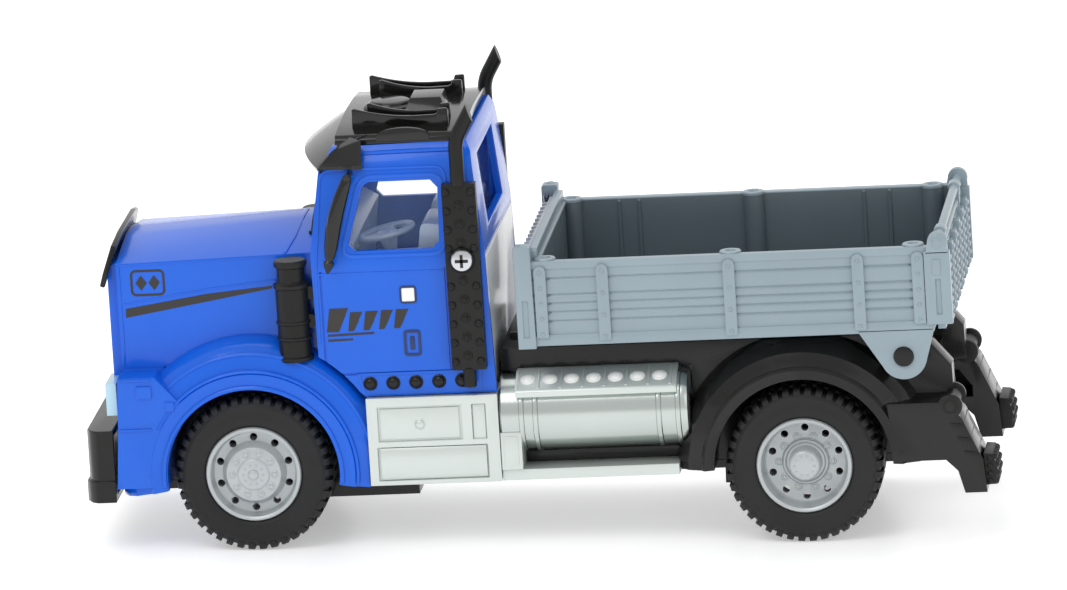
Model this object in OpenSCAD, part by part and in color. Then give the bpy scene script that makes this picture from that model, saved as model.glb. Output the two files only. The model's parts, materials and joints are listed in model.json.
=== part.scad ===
// Toy tipper truck with a tilting load bed, a drop tailgate and a friction drive.
// Nose towards -X, left side towards -Y, +Z up. The origin is on the ground
// under the middle of the overall box. Body parts are drawn in a body frame,
// level with the chassis, and body_place() lowers the nose over the axles.

/* [Stance] */
// Distance between the axles
wheelbase = 126; // [125:0.5:127]
// Distance from the origin forward to the front axle
front_axle_back = 65.9; // [65:0.1:67]
// Outside diameter of the tyres
tyre_d = 36; // [35:0.2:36.4]
// Width of one tyre
tyre_w = 12.6; // [11:0.2:13]
// Width across the outer faces of the tyres
track_w = 65.6; // [64:0.2:66]
// Nose-down angle of the body over its axles
rake = 1.3; // [1:0.1:1.6]
// Height of the body datum above the ground at mid-wheelbase
datum_h = 51.6; // [51:0.1:52]

/* [Cab and hood] */
// Width across the doors
cab_w = 62; // [61:0.5:62.5]
// Width across the hood sides
hood_w = 49; // [48:0.5:49.5]
// Wall thickness of the coloured shells
shell_t = 1.6; // [1.2:0.1:2]
// Diameter of the round side markers
marker_d = 3; // [2:0.2:3.4]

/* [Chassis and tanks] */
// Width of the upper chassis
chassis_w = 48; // [46:0.5:48]
// Width of the chassis spine between the wheels
spine_w = 35; // [32:0.5:36]
// Diameter of the fuel tanks
tank_d = 18; // [16:0.5:18.4]

/* [Load bed] */
// Width across the bed sides
bed_w = 70; // [68:0.5:71]
// Thickness of the bed walls
bed_t = 1.8; // [1.4:0.1:2.2]
// Diameter of the bed pivot pins
pivot_d = 4.4; // [4:0.1:4.6]

/* [Drive] */
// Axle rod diameter
axle_d = 3; // [2.8:0.1:3.2]
// Teeth of the rear axle gear
axle_gear_n = 32; // [32:1:32]
// Teeth of the small gears
pinion_n = 10; // [10:1:10]
// Gear module
gear_m = 0.5; // [0.5:0.05:0.5]

/* [Hidden] */
$fn = 48;

gap = 0.1;               // clearance between fixed pieces
tyre_r = tyre_d / 2;
front_axle_x = -front_axle_back;
rear_axle_x = front_axle_x + wheelbase;
body_x = front_axle_x + wheelbase / 2 - 0.7;
rim_r = 11;              // outer radius of the rim
hub_r = axle_d / 2 + 0.02; // bore of the rim on its axle
wheel_y = track_w / 2 - tyre_w; // inner face of a tyre

cab_y = cab_w / 2;
hood_y = hood_w / 2;
chassis_y = chassis_w / 2;
spine_y = spine_w / 2;
bed_y = bed_w / 2;

chassis_top = -7;        // deck of the chassis
chassis_low = -36.2;     // lower edge of the chassis sides
cab_low = -15.4;         // lower edge of the cab
sill = 18;               // foot of the windscreen and of the rear window
roof_z = 41.8;           // roof edge
door_low = -9.8;
cab_front = -47;
cab_back = -6.6;
hood_front = -92.6;
fender_y = 33.2;         // outer face of the fenders
arch_r = 19.8;           // inner radius of the wheel arches
crown_r = 31;            // outer radius of the fender crowns
box_x0 = -36.4;          // side box, front end
tank_x0 = -6;            // tank, front end
tank_x1 = 37.6;          // tank, rear end
tank_z = -21.6;
tank_y = 24;
pivot_x = 87.1;          // bed pivot
pivot_z = -10;
bed_x0 = 3.4;
bed_x1 = 94.4;
bed_low = -4.4;
bed_top = 15.2;
gate_x = 95.2;           // inner face of the tailgate
gate_hinge_x = 96.1;
gate_hinge_z = 16.4;

BLUE = [0.08, 0.36, 0.86];
BLACK = [0.13, 0.13, 0.13];
SILVER = [0.8, 0.82, 0.8];
BEDGREY = [0.52, 0.6, 0.64];
RIMGREY = [0.66, 0.69, 0.7];
RUBBER = [0.07, 0.07, 0.07];
STEEL = [0.7, 0.7, 0.72];
CLEAR = [0.8, 0.88, 0.92, 0.4];
LIGHTBLUE = [0.6, 0.75, 0.9];
GEARWHITE = [0.9, 0.9, 0.86];

// ---- frames and helpers ----

// Puts a body-frame part over the axles
module body_place() translate([body_x, 0, datum_h]) rotate([0, -rake, 0]) children();
// A point on an axle, in the body frame
function in_body(x) = let(dx = x - body_x, dz = tyre_r - datum_h)
    [dx * cos(rake) + dz * sin(rake), -dx * sin(rake) + dz * cos(rake)];
front_c = in_body(front_axle_x);
rear_c = in_body(rear_axle_x);

module left_and_right() { children(); mirror([0, 1, 0]) children(); }
module side_slab(outline, y0, y1) translate([0, y1, 0]) rotate([90, 0, 0])
    linear_extrude(y1 - y0) polygon(outline);
module cross_slab(outline, x0, x1) translate([x0, 0, 0]) rotate([90, 0, 90])
    linear_extrude(x1 - x0) polygon(outline);
module block(x, y, z) translate([x[0], y[0], z[0]]) cube([x[1] - x[0], y[1] - y[0], z[1] - z[0]]);
module y_rod(c, d, y0, y1) translate([c[0], y1, c[1]]) rotate([90, 0, 0]) cylinder(d = d, h = y1 - y0);
// A ring round an axle on the left side; the profile is [radius, distance from the middle]
module arch(c, profile, from, sweep) translate([c[0], 0, c[1]]) rotate([90, 0, 0]) rotate([0, 0, from])
    rotate_extrude(angle = sweep, $fn = 96) polygon(profile);

// ---- cab ----

cab_side = [[cab_front + 0.4, -6], [cab_front, sill], [-44.3, 36.5], [-41.2, roof_z], [-10.4, roof_z + 0.4],
    [-9.4, 40], [-7.2, sill], [cab_back + 0.3, cab_low], [-36.4, cab_low]];
cab_section = [[-cab_y, cab_low - 1], [-cab_y, 15], [-cab_y + 2.4, 36.5], [-cab_y + 3.6, 39.4],
    [-cab_y + 5.4, roof_z + 0.3], [0, roof_z + 1.2], [cab_y - 5.4, roof_z + 0.3], [cab_y - 3.6, 39.4],
    [cab_y - 2.4, 36.5], [cab_y, 15], [cab_y, cab_low - 1]];
inner_section = [[-cab_y + shell_t, cab_low - 2], [-cab_y + shell_t, 15], [-cab_y + 2.4 + shell_t, 36.3],
    [-cab_y + 6.4, roof_z - 1.2], [cab_y - 6.4, roof_z - 1.2], [cab_y - 2.4 - shell_t, 36.3],
    [cab_y - shell_t, 15], [cab_y - shell_t, cab_low - 2]];
inner_side = [[cab_front + 0.4 + shell_t, -6], [cab_front + shell_t, sill], [-44.3 + shell_t, 36.5],
    [-40.6, 45], [-11.4, 45], [-10.8, 38], [-8.8, sill], [-8.4, cab_low - 2], [-36.4, cab_low - 2]];
// Side window, on the XZ plane
side_window = [[-38.2, 20], [-36.8, 18.4], [-19, 18.4], [-17.4, 20], [-17.2, 32.2], [-18.8, 34],
    [-33, 34], [-34.4, 33]];

module cab_solid() intersection() {
    side_slab(cab_side, -cab_y - 1, cab_y + 1);
    cross_slab(cab_section, -60, 0);
}
module windscreen_cut(y, z0, z1) side_slab([[-60, z0], [-60, z1], [-41, z1], [-41, z0]], -y, y);
module cab_shell() color(BLUE) body_place() difference() {
    cab_solid();
    intersection() {
        side_slab(inner_side, -cab_y, cab_y);
        cross_slab(inner_section, -60, 0);
    }
    // clear of the front fenders
    y_rod(front_c, 2 * crown_r + 2 * gap, -cab_y - 1, cab_y + 1);
    side_slab(side_window, -cab_y - 1, cab_y + 1);
    windscreen_cut(25.4, 21, 34.6);
    block([-14, -3], [-16.5, 16.5], [20.8, 37.2]);
    // lower rear opening, closed by the back panel
    block([-10, -3], [-cab_y + shell_t, cab_y - shell_t], [cab_low - 1, sill - 2]);
    // door outlines
    left_and_right() for (x = [-45.2, -16.6]) block([x, x + 0.5], [-cab_y - 1, -cab_y + 0.4], [door_low, 14]);
    left_and_right() block([-45.2, -16.1], [-cab_y - 1, -cab_y + 0.4], [door_low - 0.5, door_low]);
    left_and_right() for (i = [0 : 4]) y_rod([-35.1 + 5.25 * i, -12.4], marker_d + 2 * gap, -cab_y - 1, -cab_y + 1);
}
module glazing() color(CLEAR) body_place() {
    left_and_right() intersection() {
        side_slab([[-39.6, 17], [-35.4, 35.6], [-16.2, 35.6], [-16.2, 17]], -cab_y, 0);
        cross_slab([[-cab_y + 1.9, 15.4], [-cab_y + 4.1, 36.2], [-cab_y + 4.9, 36.2], [-cab_y + 2.7, 15.4]], -60, 0);
    }
    side_slab([[-45, 19.6], [-42.7, 35.4], [-41.9, 35.4], [-44.2, 19.6]], -25.8, 25.8);
    side_slab([[-9.6, 19.6], [-11.2, 36.4], [-12, 36.4], [-10.4, 19.6]], -18.4, 18.4);
}
module cab_back_panel() color(SILVER) body_place()
    block([-8.2, -7], [-cab_y + shell_t + gap, cab_y - shell_t - gap], [cab_low, sill - 2 - gap]);
module interior() color(LIGHTBLUE) body_place() {
    block([-43.6, -10], [-27.8, 27.8], [-3.6, -2]);
    side_slab([[-43.6, -1.9], [-44.4, 17.6], [-41, 21.6], [-37.4, 19.4], [-38.4, 12], [-39.6, -1.9]], -26.6, 26.6);
    // steering column
    translate([-39.4, -12.5, 10.4]) rotate([0, 62, 0]) cylinder(d = 2.4, h = 4);
}
module steering_wheel() color(BLACK) body_place() translate([-30.6, -12.5, 18.4]) rotate([0, -28, 0]) {
    rotate_extrude() translate([6.6, 0]) circle(d = 1.5, $fn = 16);
    cylinder(d = 4, h = 1.4, center = true);
    for (a = [90, 210, 330]) rotate([0, 0, a]) translate([3.9, 0, 0]) cube([4.6, 1.2, 0.8], center = true);
}
module seats() color(LIGHTBLUE) body_place() left_and_right() {
    block([-29, -14.6], [-21.6, -4], [-1.9, 6]);
    side_slab([[-17.8, 6.1], [-15.2, 22], [-12.6, 23], [-11.6, 22.2], [-14.4, 6.1]], -21.6, -4);
}

// ---- hood and fenders ----

fender_profile = [[arch_r, 31], [arch_r, fender_y - 0.4], [arch_r + 0.6, fender_y], [23.4, fender_y],
    [24, 32.4], [27.4, 31.6], [29.6, 29.6], [crown_r, 26.2], [crown_r, 18.4], [29.2, 18.4], [29.2, 25.6],
    [28, 28.2], [26.4, 29.8], [23.4, 31]];
module hood_section(x, side_z, crest_z, t) translate([x, 0, 0]) rotate([90, 0, 90]) linear_extrude(0.01)
    polygon([[-hood_y + t, -8 - t], [-hood_y + t, side_z - t], [-5, crest_z - t], [5, crest_z - t],
        [hood_y - t, side_z - t], [hood_y - t, -8 - t]]);
module hood_fenders() color(BLUE) body_place() {
    difference() {
        union() {
            hull() { hood_section(hood_front, 16.3, 18.8, 0); hood_section(cab_front - gap, 17.3, 21.6, 0); }
            // nose block under the hood front
            block([hood_front + 0.1, -83], [-hood_y + 0.1, hood_y - 0.1], [-17.4, -6.5]);
            left_and_right() fender();
        }
        hull() {
            hood_section(hood_front + shell_t, 16.3, 18.8, shell_t);
            hood_section(cab_front, 17.3, 21.6, shell_t);
        }
        // room for the grille and the radiator
        block([hood_front - 4, hood_front + 4], [-19, 19], [-18.6, 13.4]);
        block([-92, -82], [-18.1, 18.1], [-18.6, -5]);
        left_and_right() y_rod(front_c, 2 * arch_r - 0.2, -fender_y - 2, -18.3);
    }
}
module fender() {
    intersection() {
        arch(front_c, fender_profile, -9, 198);
        block([-100, -36.5], [-40, 0], [-60, 10]);
    }
    // front block with its flat top
    side_slab([[-94.4, -34.4], [-93.4, -20.8], [-92.9, -8.6], [-84.4, -8.6], [-78, -16], [-82, -34.4]],
        -fender_y + 0.1, -18.5);
    block([-88.6, -85.2], [-fender_y - 0.5, -fender_y + 0.4], [-13.3, -10.6]);
}
module grille() color(SILVER) body_place() {
    difference() {
        block([-95, -93.2], [-18.8, 18.8], [-17.8, 13.2]);
        block([-95.6, -94], [-17.2, 17.2], [-16.2, 11.6]);
    }
    for (i = [-5 : 5]) block([-94.9, -94], [i * 3 - 0.5, i * 3 + 0.5], [-16.2, 11.6]);
}
module headlights() color(CLEAR) body_place() left_and_right()
    difference() {
        block([-96, -93.4], [-31.4, -21.6], [-17.6, -10]);
        block([-94.4, -93], [-30.4, -22.6], [-16.6, -11]);
    }
module bug_deflector() color(BLACK) body_place() {
    translate([-96, 0, 13]) rotate([0, 17, 0])
        cross_slab([[-25.4, -1.8], [-25.8, 1.4], [-21, 7.4], [-12, 8.9], [12, 8.9], [21, 7.4], [25.8, 1.4],
            [25.4, -1.8], [21, 0.9], [0, 1.6], [-21, 0.9]], 0, 1.2);
    for (y = [-14, 12]) block([-94.6, hood_front - gap], [y, y + 2], [14.6, 15.8]);
}
module front_bumper() color(BLACK) body_place() difference() {
    union() {
        bumper_bar(-101, 33.2, -32.4, -20.7);
        bumper_bar(-101.6, 33.8, -37.4, -32.4);
    }
    left_and_right() translate([-101.7, -27.6, -35]) rotate([0, 90, 0]) cylinder(d = 3.6, h = 2);
    block([-99.4, -90], [-31.6, 31.6], [-36, -22.4]);
}
module bumper_bar(front, y, z0, z1) translate([0, 0, z0]) linear_extrude(z1 - z0)
    polygon([[front, -y + 3.4], [front + 1.2, -y + 1], [front + 2.6, -y], [-94.7, -y], [-94.7, y],
        [front + 2.6, y], [front + 1.2, y - 1], [front, y - 3.4]]);
module fog_lamps() color(CLEAR) body_place() left_and_right()
    translate([-102, -27.6, -35]) rotate([0, 90, 0]) cylinder(d = 3.4, h = 2.2);

// ---- roof ----

module roof_fairing() color(BLACK) body_place() {
    // tray
    cross_slab([[-25.7, 42.2], [-24.8, 44.2], [0, 45.4], [24.8, 44.2], [25.7, 42.2], [0, 43.2]], -40.4, -11);
    left_and_right() {
        // fin pair with a hollow top line and end posts
        for (y = [12.6, 18.4]) side_slab([[-37.2 + (19 - y) * 0.5, 44], [-36.6 + (19 - y) * 0.5, 49],
            [-31, 47.6], [-25, 47.1], [-19, 47.2], [-17.2, 47.6], [-17, 48.4], [-14.8, 48.4], [-14.8, 44]],
            -y - 0.9, -y);
        block([-16.8, -15], [-18.9, -13], [44.5, 47.2]);
        // low round boss on the edge of the tray
        intersection() {
            y_rod([-24.8, 39.2], 12.8, -25.6, -23.6);
            block([-40, -10], [-30, 0], [42.6, 60]);
        }
    }
    translate([-30.2, 0, 45]) cylinder(d = 12, h = 1.4);
    translate([-30.2, 0, 46.4]) cylinder(d = 9, h = 0.8);
    cross_slab([[-7, 45], [-5, 48.2], [5, 48.2], [7, 45]], -26.5, -16.8);
    difference() {
        visor_shape(0, 1);
        translate([1.2, 0, -1.1]) visor_shape(8, 0.965);
        for (x = [-0.3, 0]) translate([x, 0, gap]) cab_solid();
    }
}
// Bowed visor over the windscreen; deep lets the cutting copy run on downwards
module visor_shape(deep, narrow) hull() for (y = [-30, -18, 0, 18, 30]) {
    front = -50 + 6 * pow(y / 30, 2);
    translate([front, y * narrow - 0.05, 36.9 - deep]) cube([1, 0.1, 2.2 + deep]);
    translate([-37, y * 0.82 * narrow, 44.2 - deep]) cube([4, 0.1, 1 + deep]);
    translate([-34, y * narrow - 0.05, 36.9 - deep]) cube([1, 0.1, 1 + deep]);
}

// ---- things on the cab sides ----

module side_markers() color(BLACK) body_place() left_and_right() for (i = [0 : 4])
    y_rod([-35.1 + 5.25 * i, -12.4], marker_d, -cab_y - 1, -cab_y + 0.9);

stack_x = -12;
stack_y = 33.3;
shield_in = cab_y + 0.3;
bend_z = 41.6;           // start of the stack's bend
bend_r = 9;
bend_a = 30;
boss_pitch = 4.38;
module stack_end(z, d, h) translate([stack_x + bend_r, -stack_y, bend_z]) rotate([0, bend_a, 0])
    translate([-bend_r, 0, z]) cylinder(d = d, h = h);
module stack_parts() difference() {
    union() {
        block([-15.8, -8], [-34.2, -shield_in], [-9.4, 33.8]);
        translate([stack_x, -stack_y, 33.7]) cylinder(d = 3.2, h = bend_z - 33.2);
        translate([stack_x + bend_r, -stack_y, bend_z]) rotate([90, 0, 0]) rotate([0, 0, 180 - bend_a])
            rotate_extrude(angle = bend_a) translate([bend_r, 0]) circle(d = 3.4, $fn = 32);
        stack_end(-0.5, 3.2, 9.5);
        block([-13.4, -10.6], [-34, -32.3], [-13.6, -9.4]);
        for (i = [0 : 8]) if (i != 3) boss(stack_x, 29 - boss_pitch * i);
        for (i = [0 : 9], x = [stack_x - 2.8, stack_x + 2.8]) if (i != 4) boss(x, 32 - boss_pitch * i);
    }
    // hollow mouth, cut steeply
    stack_end(2, 2.1, 9);
    side_slab([[-9.3, 52.6], [-7.8, 48.2], [-7, 46], [0, 46], [0, 60], [-9.3, 60]], -36, -30);
    y_rod([stack_x, 16.2], 2.7, -35, -30);
}
module boss(x, z) translate([x, -34.2, z]) rotate([90, 0, 0]) cylinder(d1 = 2.6, d2 = 1.8, h = 0.6);
module exhaust_left() color(BLACK) body_place() stack_parts();
module exhaust_right() color(BLACK) body_place() mirror([0, 1, 0]) stack_parts();
module exhaust_screws() color(STEEL) body_place() left_and_right() difference() {
    union() {
        y_rod([stack_x, 16.2], 5, -36, -34.25);
        y_rod([stack_x, 16.2], 2.5, -34.26, -shield_in);
    }
    for (a = [0, 90]) translate([stack_x, -36, 16.2]) rotate([0, a, 0]) cube([2.8, 1.8, 0.7], center = true);
}
module air_cleaner() difference() {
    translate([-52, -28.8, 0]) { for (r = [[-4, -2.6, 8.4], [-2.6, 2.2, 7.2], [2.2, 3.2, 7.7], [3.2, 5.8, 7.2], [5.8, 6.8, 7.7],
        [6.8, 11, 7.2], [11, 12.8, 8.2], [12.8, 14.8, 6.4], [14.8, 17, 7.6]])
        translate([0, 0, r[0]]) cylinder(d = r[2], h = r[1] - r[0]);
        for (z = [0.8, 7.4]) block([3, 4.8], [-0.6, 1.8], [z, z + 3.2]); }
    // seated on the crown of the fender
    y_rod(front_c, 2 * crown_r + 2 * gap, -40, -20);
}
module air_cleaner_left() color(BLACK) body_place() air_cleaner();
module air_cleaner_right() color(BLACK) body_place() mirror([0, 1, 0]) air_cleaner();
module mirror_arm() {
    side_slab([[-38.6, 37.2], [-36.4, 37.2], [-36.2, 34.6], [-38.4, 32], [-41, 21], [-41.6, 17.4], [-42.9, 14.2],
        [-43.6, 18], [-42.6, 22], [-40.2, 33]], -34.6, -32.4);
    block([-38.2, -36.4], [-32.4, -31.2], [34.8, 36.8]);
    block([-43.2, -41.8], [-32.4, -31.2], [17, 18.6]);
}
module mirror_left() color(BLACK) body_place() mirror_arm();
module mirror_right() color(BLACK) body_place() mirror([0, 1, 0]) mirror_arm();

// ---- side boxes and tanks ----

module side_box() difference() {
    union() {
        block([box_x0, tank_x0 - gap], [-32.6, -spine_y - 2.6], [-36, cab_low - gap]);
        block([box_x0, tank_x0 - gap], [-33.2, -32.6], [-26.4, -24.6]);
        block([box_x0, box_x0 + 2.4], [-33.2, -32.6], [-36, -16]);
        block([-14.4, tank_x0 - gap], [-33.2, -32.6], [-36, -16]);
        y_rod([-24.2, -21.4], 2.2, -33, -32.4);
        translate([-34, -26, -31]) rotate([0, 90, 0]) cylinder(r = 7, h = 25);
    }
    block([box_x0 - 1, tank_x0], [-40, 0], [-50, -36]);
    block([box_x0 + 1.6, tank_x0 - 1.8], [-24.6, 0], [-34.4, -17]);
}
module side_box_left() color(SILVER) body_place() side_box();
module side_box_right() color(SILVER) body_place() mirror([0, 1, 0]) side_box();
module fuel_tank() difference() {
    union() {
        translate([tank_x0, -tank_y, tank_z]) rotate([0, 90, 0]) cylinder(d = tank_d, h = tank_x1 - tank_x0 - 1);
        translate([tank_x1 - 1, -tank_y, tank_z]) rotate([0, 90, 0]) cylinder(d1 = tank_d, d2 = tank_d - 3, h = 1);
        for (x = [-1.4, 1.9, 30.2, 34.6]) translate([x, -tank_y, tank_z]) rotate([0, 90, 0])
            cylinder(d = tank_d + 0.7, h = 0.8);
        block([tank_x0, -1], [-32.4, -chassis_y - gap], [-33.4, -24.6]);
        block([tank_x0, 34.4], [-32, -chassis_y - gap], [-36, -33.4]);
        // ribbed step
        cross_slab([[-33, -16.6], [-33, -15], [-25.4, -11.6], [-24.1, -11.6], [-24.1, -16.6]], -2, 34.8);
        for (i = [0 : 6]) translate([0.4 + 5.02 * i, -31, -14.6]) rotate([66, 0, 0])
            cylinder(d = 2.2, h = 1.8);
    }
    block([-50, 50], [-chassis_y - gap, 0], [-50, 0]);
}
module fuel_tank_left() color(SILVER) body_place() fuel_tank();
module fuel_tank_right() color(SILVER) body_place() mirror([0, 1, 0]) fuel_tank();

// ---- chassis ----

rear_profile = [[20.4, 22], [20.4, 34], [22.6, 34.6], [23.4, 33.6], [26.4, 32.4], [28.6, 29.6], [29.4, 25.4],
    [29.4, 17], [27.4, 17], [27.4, 25], [26.4, 28.4], [24.8, 30.6], [22.4, 31.4], [22.4, 22]];
module chassis() color(BLACK) body_place() difference() {
    union() {
        block([-90, -44], [-spine_y, spine_y], [chassis_low, -19]);
        block([-44, 85], [-spine_y, spine_y], [chassis_low, -17]);
        block([84, 92], [-spine_y, spine_y], [-33, -17]);
        block([-5.8, 88], [-chassis_y, chassis_y], [-17.4, chassis_top]);
        block([-5.8, 40], [-chassis_y, chassis_y], [chassis_low, -17]);
        left_and_right() {
            intersection() {
                arch(rear_c, rear_profile, 0, 180);
                block([0, 120], [-40, 0], [-60, chassis_top]);
            }
            tail();
        }
    }
    // hollow, open below
    block([-88, -46], [-spine_y + 2, spine_y - 2], [-40, -21]);
    block([-42, -8], [-spine_y + 2, spine_y - 2], [-40, -19]);
    block([-4, 84], [-spine_y + 2, spine_y - 2], [-40, -9]);
    block([-4, 38], [-chassis_y + 2, chassis_y - 2], [-40, -9]);
    // wheel wells
    left_and_right() {
        y_rod(rear_c, 2 * 20.2, -33, -spine_y - 0.1);
        y_rod(front_c, axle_d + 0.16, -30, 0);
        y_rod(rear_c, axle_d + 0.16, -30, 0);
        y_rod([pivot_x, pivot_z], pivot_d + 0.16, -30, 0);
    }
    // seats of the tanks
    left_and_right() translate([tank_x0 - 2, -tank_y, tank_z]) rotate([0, 90, 0])
        cylinder(d = tank_d + 0.7 + 2 * gap, h = tank_x1 - tank_x0 + 2 + gap);
    left_and_right() block([tank_x0 - 1, 34.5], [-32.1, -chassis_y], [-36.3, -33.3]);
    // relief behind the pivot so that the bed can swing down
    side_slab([[88, 0], [93.2, -9.8], [97.1, -14.8], [120, -14.8], [120, 0]], -20, 20);
}
module tail() {
    side_slab([[84, -16], [84, -8], [89, -8.2], [92.8, -9.8], [97, -14.8], [97.2, -22.6], [84, -24]],
        -chassis_y, -17.4);
    difference() {
        side_slab([[82.6, -21], [95.4, -21], [99.4, -24.8], [103.8, -34.6], [104.4, -42.2], [99.4, -42.2],
            [98, -37], [95.4, -34.4], [84, -34.4]], -34.8, -21);
        y_rod(rear_c, 2 * 22.4, -36, 0);
        side_slab([[85, -26], [95, -26], [98, -30], [98, -32.6], [85, -32.6]], -33.4, -10);
    }
    y_rod([96.9, -22], 3.6, -34.8, -21);
    y_rod([96.9, -22], 5.4, -34.8, -33.2);
    y_rod([96.9, -22], 5.4, -22.6, -21);
}
module tail_lenses() color([0.85, 0.2, 0.15]) body_place() left_and_right()
    difference() {
        side_slab([[104, -33.4], [106.4, -33.6], [107.4, -38], [106.6, -41], [104.3, -40.8]], -34, -22);
        block([100, 103.9], [-40, 0], [-50, -30]);
    }
module base_plate() color(BLACK) body_place() difference() {
    union() {
        block([-89.6, 84], [-spine_y, spine_y], [-38.2, chassis_low - gap]);
        block([-50, -27], [-spine_y, spine_y], [-41.6, -38.2]);
        translate([12.6, 0, -40]) cylinder(d1 = 8, d2 = 14, h = 1.8);
    }
    // seat for the rear axle, and the window that the drive hangs through
    y_rod(rear_c, axle_d + 0.16, -30, 30);
    block([rear_c[0] + case_back - 0.7, rear_c[0] + case_ahead + 0.7], [-7.2, 13.2], [-50, -30]);
    for (x = screw_x, y = [-10, 10]) translate([x, y, -40]) cylinder(d = 2.7, h = 6);
}
screw_x = [-86, 20, 80];
module base_screws() color(STEEL) body_place() for (x = screw_x, y = [-10, 10]) translate([x, y, 0]) {
    translate([0, 0, -39.5]) cylinder(d = 4.6, h = 1.3);
    translate([0, 0, -38.3]) cylinder(d = 2.5, h = 4.4);
}

// ---- wheels ----

module axle_rod(x) y_rod([x, tyre_r], axle_d, -wheel_y - 11.8, wheel_y + 11.8);
module front_axle() color(STEEL) axle_rod(front_axle_x);
module rear_axle() color(STEEL) axle_rod(rear_axle_x);
// Left wheel parts, axis along Y, centred on the axle; heights are distances from the middle
module wheel_place(x, s) translate([x, 0, tyre_r]) rotate([s > 0 ? -90 : 90, 0, 0]) children();
module tyre(x, s) color(RUBBER) wheel_place(x, s) translate([0, 0, wheel_y])
    rotate_extrude($fn = 96) polygon([[rim_r, 0.6], [14, 0], [tyre_r - 0.9, 0.5], [tyre_r, 1.6],
        [tyre_r, tyre_w - 1.6], [tyre_r - 0.9, tyre_w - 0.5], [14, tyre_w], [rim_r + 0.4, tyre_w - 0.6],
        [rim_r, tyre_w - 1.4]]);
module rim_holes(r, d, z0, z1, turn) for (i = [0 : 9]) rotate([0, 0, 36 * i + turn]) translate([r, 0, z0])
    cylinder(d = d, h = z1 - z0, $fn = 24);
module rim_front(x, s) color(RIMGREY) wheel_place(x, s) translate([0, 0, wheel_y]) {
    difference() {
        rotate_extrude($fn = 96) polygon([[hub_r, 1], [3.2, 1], [3.2, 8], [9.4, 8], [9.4, 1], [rim_r - 0.05, 1],
            [rim_r - 0.05, tyre_w - 1], [rim_r - 0.6, tyre_w], [10, tyre_w], [9.4, 10.4], [8.4, 10.2], [5.4, 12.6],
            [3.6, 12.8], [2.6, 13.8], [0, 13.8], [0, 12], [hub_r, 12]]);
        rim_holes(8, 1.5, 5, 14, 18);
    }
    rim_holes(4.5, 1.1, 12.4, 13.4, 0);
}
module rim_rear(x, s) color(RIMGREY) wheel_place(x, s) translate([0, 0, wheel_y]) {
    difference() {
        rotate_extrude($fn = 96) polygon([[hub_r, 1], [3.2, 1], [3.2, 5], [9.4, 5], [9.4, 1], [rim_r - 0.05, 1],
            [rim_r - 0.05, tyre_w - 1], [rim_r - 0.6, tyre_w], [10.2, tyre_w], [9.4, 8], [6.4, 7.2], [3.9, 7.4],
            [3.4, 12.2], [2.6, 13], [0, 13], [0, 12], [hub_r, 12]]);
        rim_holes(7.9, 1.7, 3, 14, 18);
    }
    rim_holes(5.2, 1.3, 7, 8.6, 0);
}
module rim_front_left() rim_front(front_axle_x, -1);
module rim_front_right() rim_front(front_axle_x, 1);
module rim_rear_left() rim_rear(rear_axle_x, -1);
module rim_rear_right() rim_rear(rear_axle_x, 1);
module tyre_front_left() tyre(front_axle_x, -1);
module tyre_front_right() tyre(front_axle_x, 1);
module tyre_rear_left() tyre(rear_axle_x, -1);
module tyre_rear_right() tyre(rear_axle_x, 1);

// ---- friction drive ----

gear_w = 2.4;
idler_big_n = 24;
idler_a = 120;           // direction from the axle to the idler
fly_a = 140;             // direction from the idler to the flywheel
idler_at = [rear_axle_x, tyre_r] + (axle_gear_n + pinion_n) * gear_m / 2 * [cos(idler_a), sin(idler_a)];
fly_at = idler_at + (idler_big_n + pinion_n) * gear_m / 2 * [cos(fly_a), sin(fly_a)];
case_back = -20.4;       // drive case, measured from the axle
case_ahead = 10.2;
// A spur gear about Z; its teeth are thinned, which leaves running play
module spur(n, w) linear_extrude(w) polygon([for (i = [0 : n - 1], p = [[-0.30, -1.25], [-0.19, 0.05],
    [-0.09, 0.9], [0.09, 0.9], [0.19, 0.05], [0.30, -1.25]])
    let(a = (i + p[0]) * 360 / n, r = n * gear_m / 2 + p[1] * gear_m) [r * cos(a), r * sin(a)]]);
// Gear axes lie along Y; the turn puts a tooth or a gap towards the mate
module gear_place(at, turn) translate([at[0], 6, at[1]]) rotate([90, 0, 0]) rotate([0, 0, turn]) children();
module axle_gear() color(GEARWHITE) gear_place([rear_axle_x, tyre_r], idler_a) difference() {
    union() { spur(axle_gear_n, gear_w); translate([0, 0, -2]) cylinder(d = 6, h = gear_w + 4); }
    translate([0, 0, -3]) cylinder(r = hub_r, h = gear_w + 6);
}
module idler_gear() color(GEARWHITE) gear_place(idler_at, idler_a + 162) {
    spur(pinion_n, gear_w + 0.6);
    translate([0, 0, gear_w + 0.6]) rotate([0, 0, fly_a - idler_a - 162]) spur(idler_big_n, gear_w);
    translate([0, 0, -7]) cylinder(d = 2, h = 18.6);
}
module flywheel() color(STEEL) gear_place(fly_at, fly_a + 162) {
    translate([0, 0, gear_w + 0.6]) spur(pinion_n, gear_w);
    translate([0, 0, -7]) cylinder(d = 1.6, h = 18.6);
    translate([0, 0, -5]) cylinder(d = 13, h = 4.4);
}
// Two shells round the gears
module case_shell(y0, y1, open0, open1) difference() {
    block([rear_axle_x + case_back, rear_axle_x + case_ahead], [y0, y1], [tyre_r - 9.8, tyre_r + 22.4]);
    block([rear_axle_x + case_back + 1, rear_axle_x + case_ahead - 1], [open0, open1],
        [tyre_r - 8.8, tyre_r + 21.4]);
    y_rod([rear_axle_x, tyre_r], axle_d + 0.16, -20, 20);
    y_rod(idler_at, 2.12, -20, 20);
    y_rod(fly_at, 1.72, -20, 20);
}
module motor_case() color(BLACK) case_shell(-5, 12.4, -6, 11.2);
module motor_cover() color(BLACK) case_shell(-6.3, -5 - gap, -4, -3);

// ---- load bed ----

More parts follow.
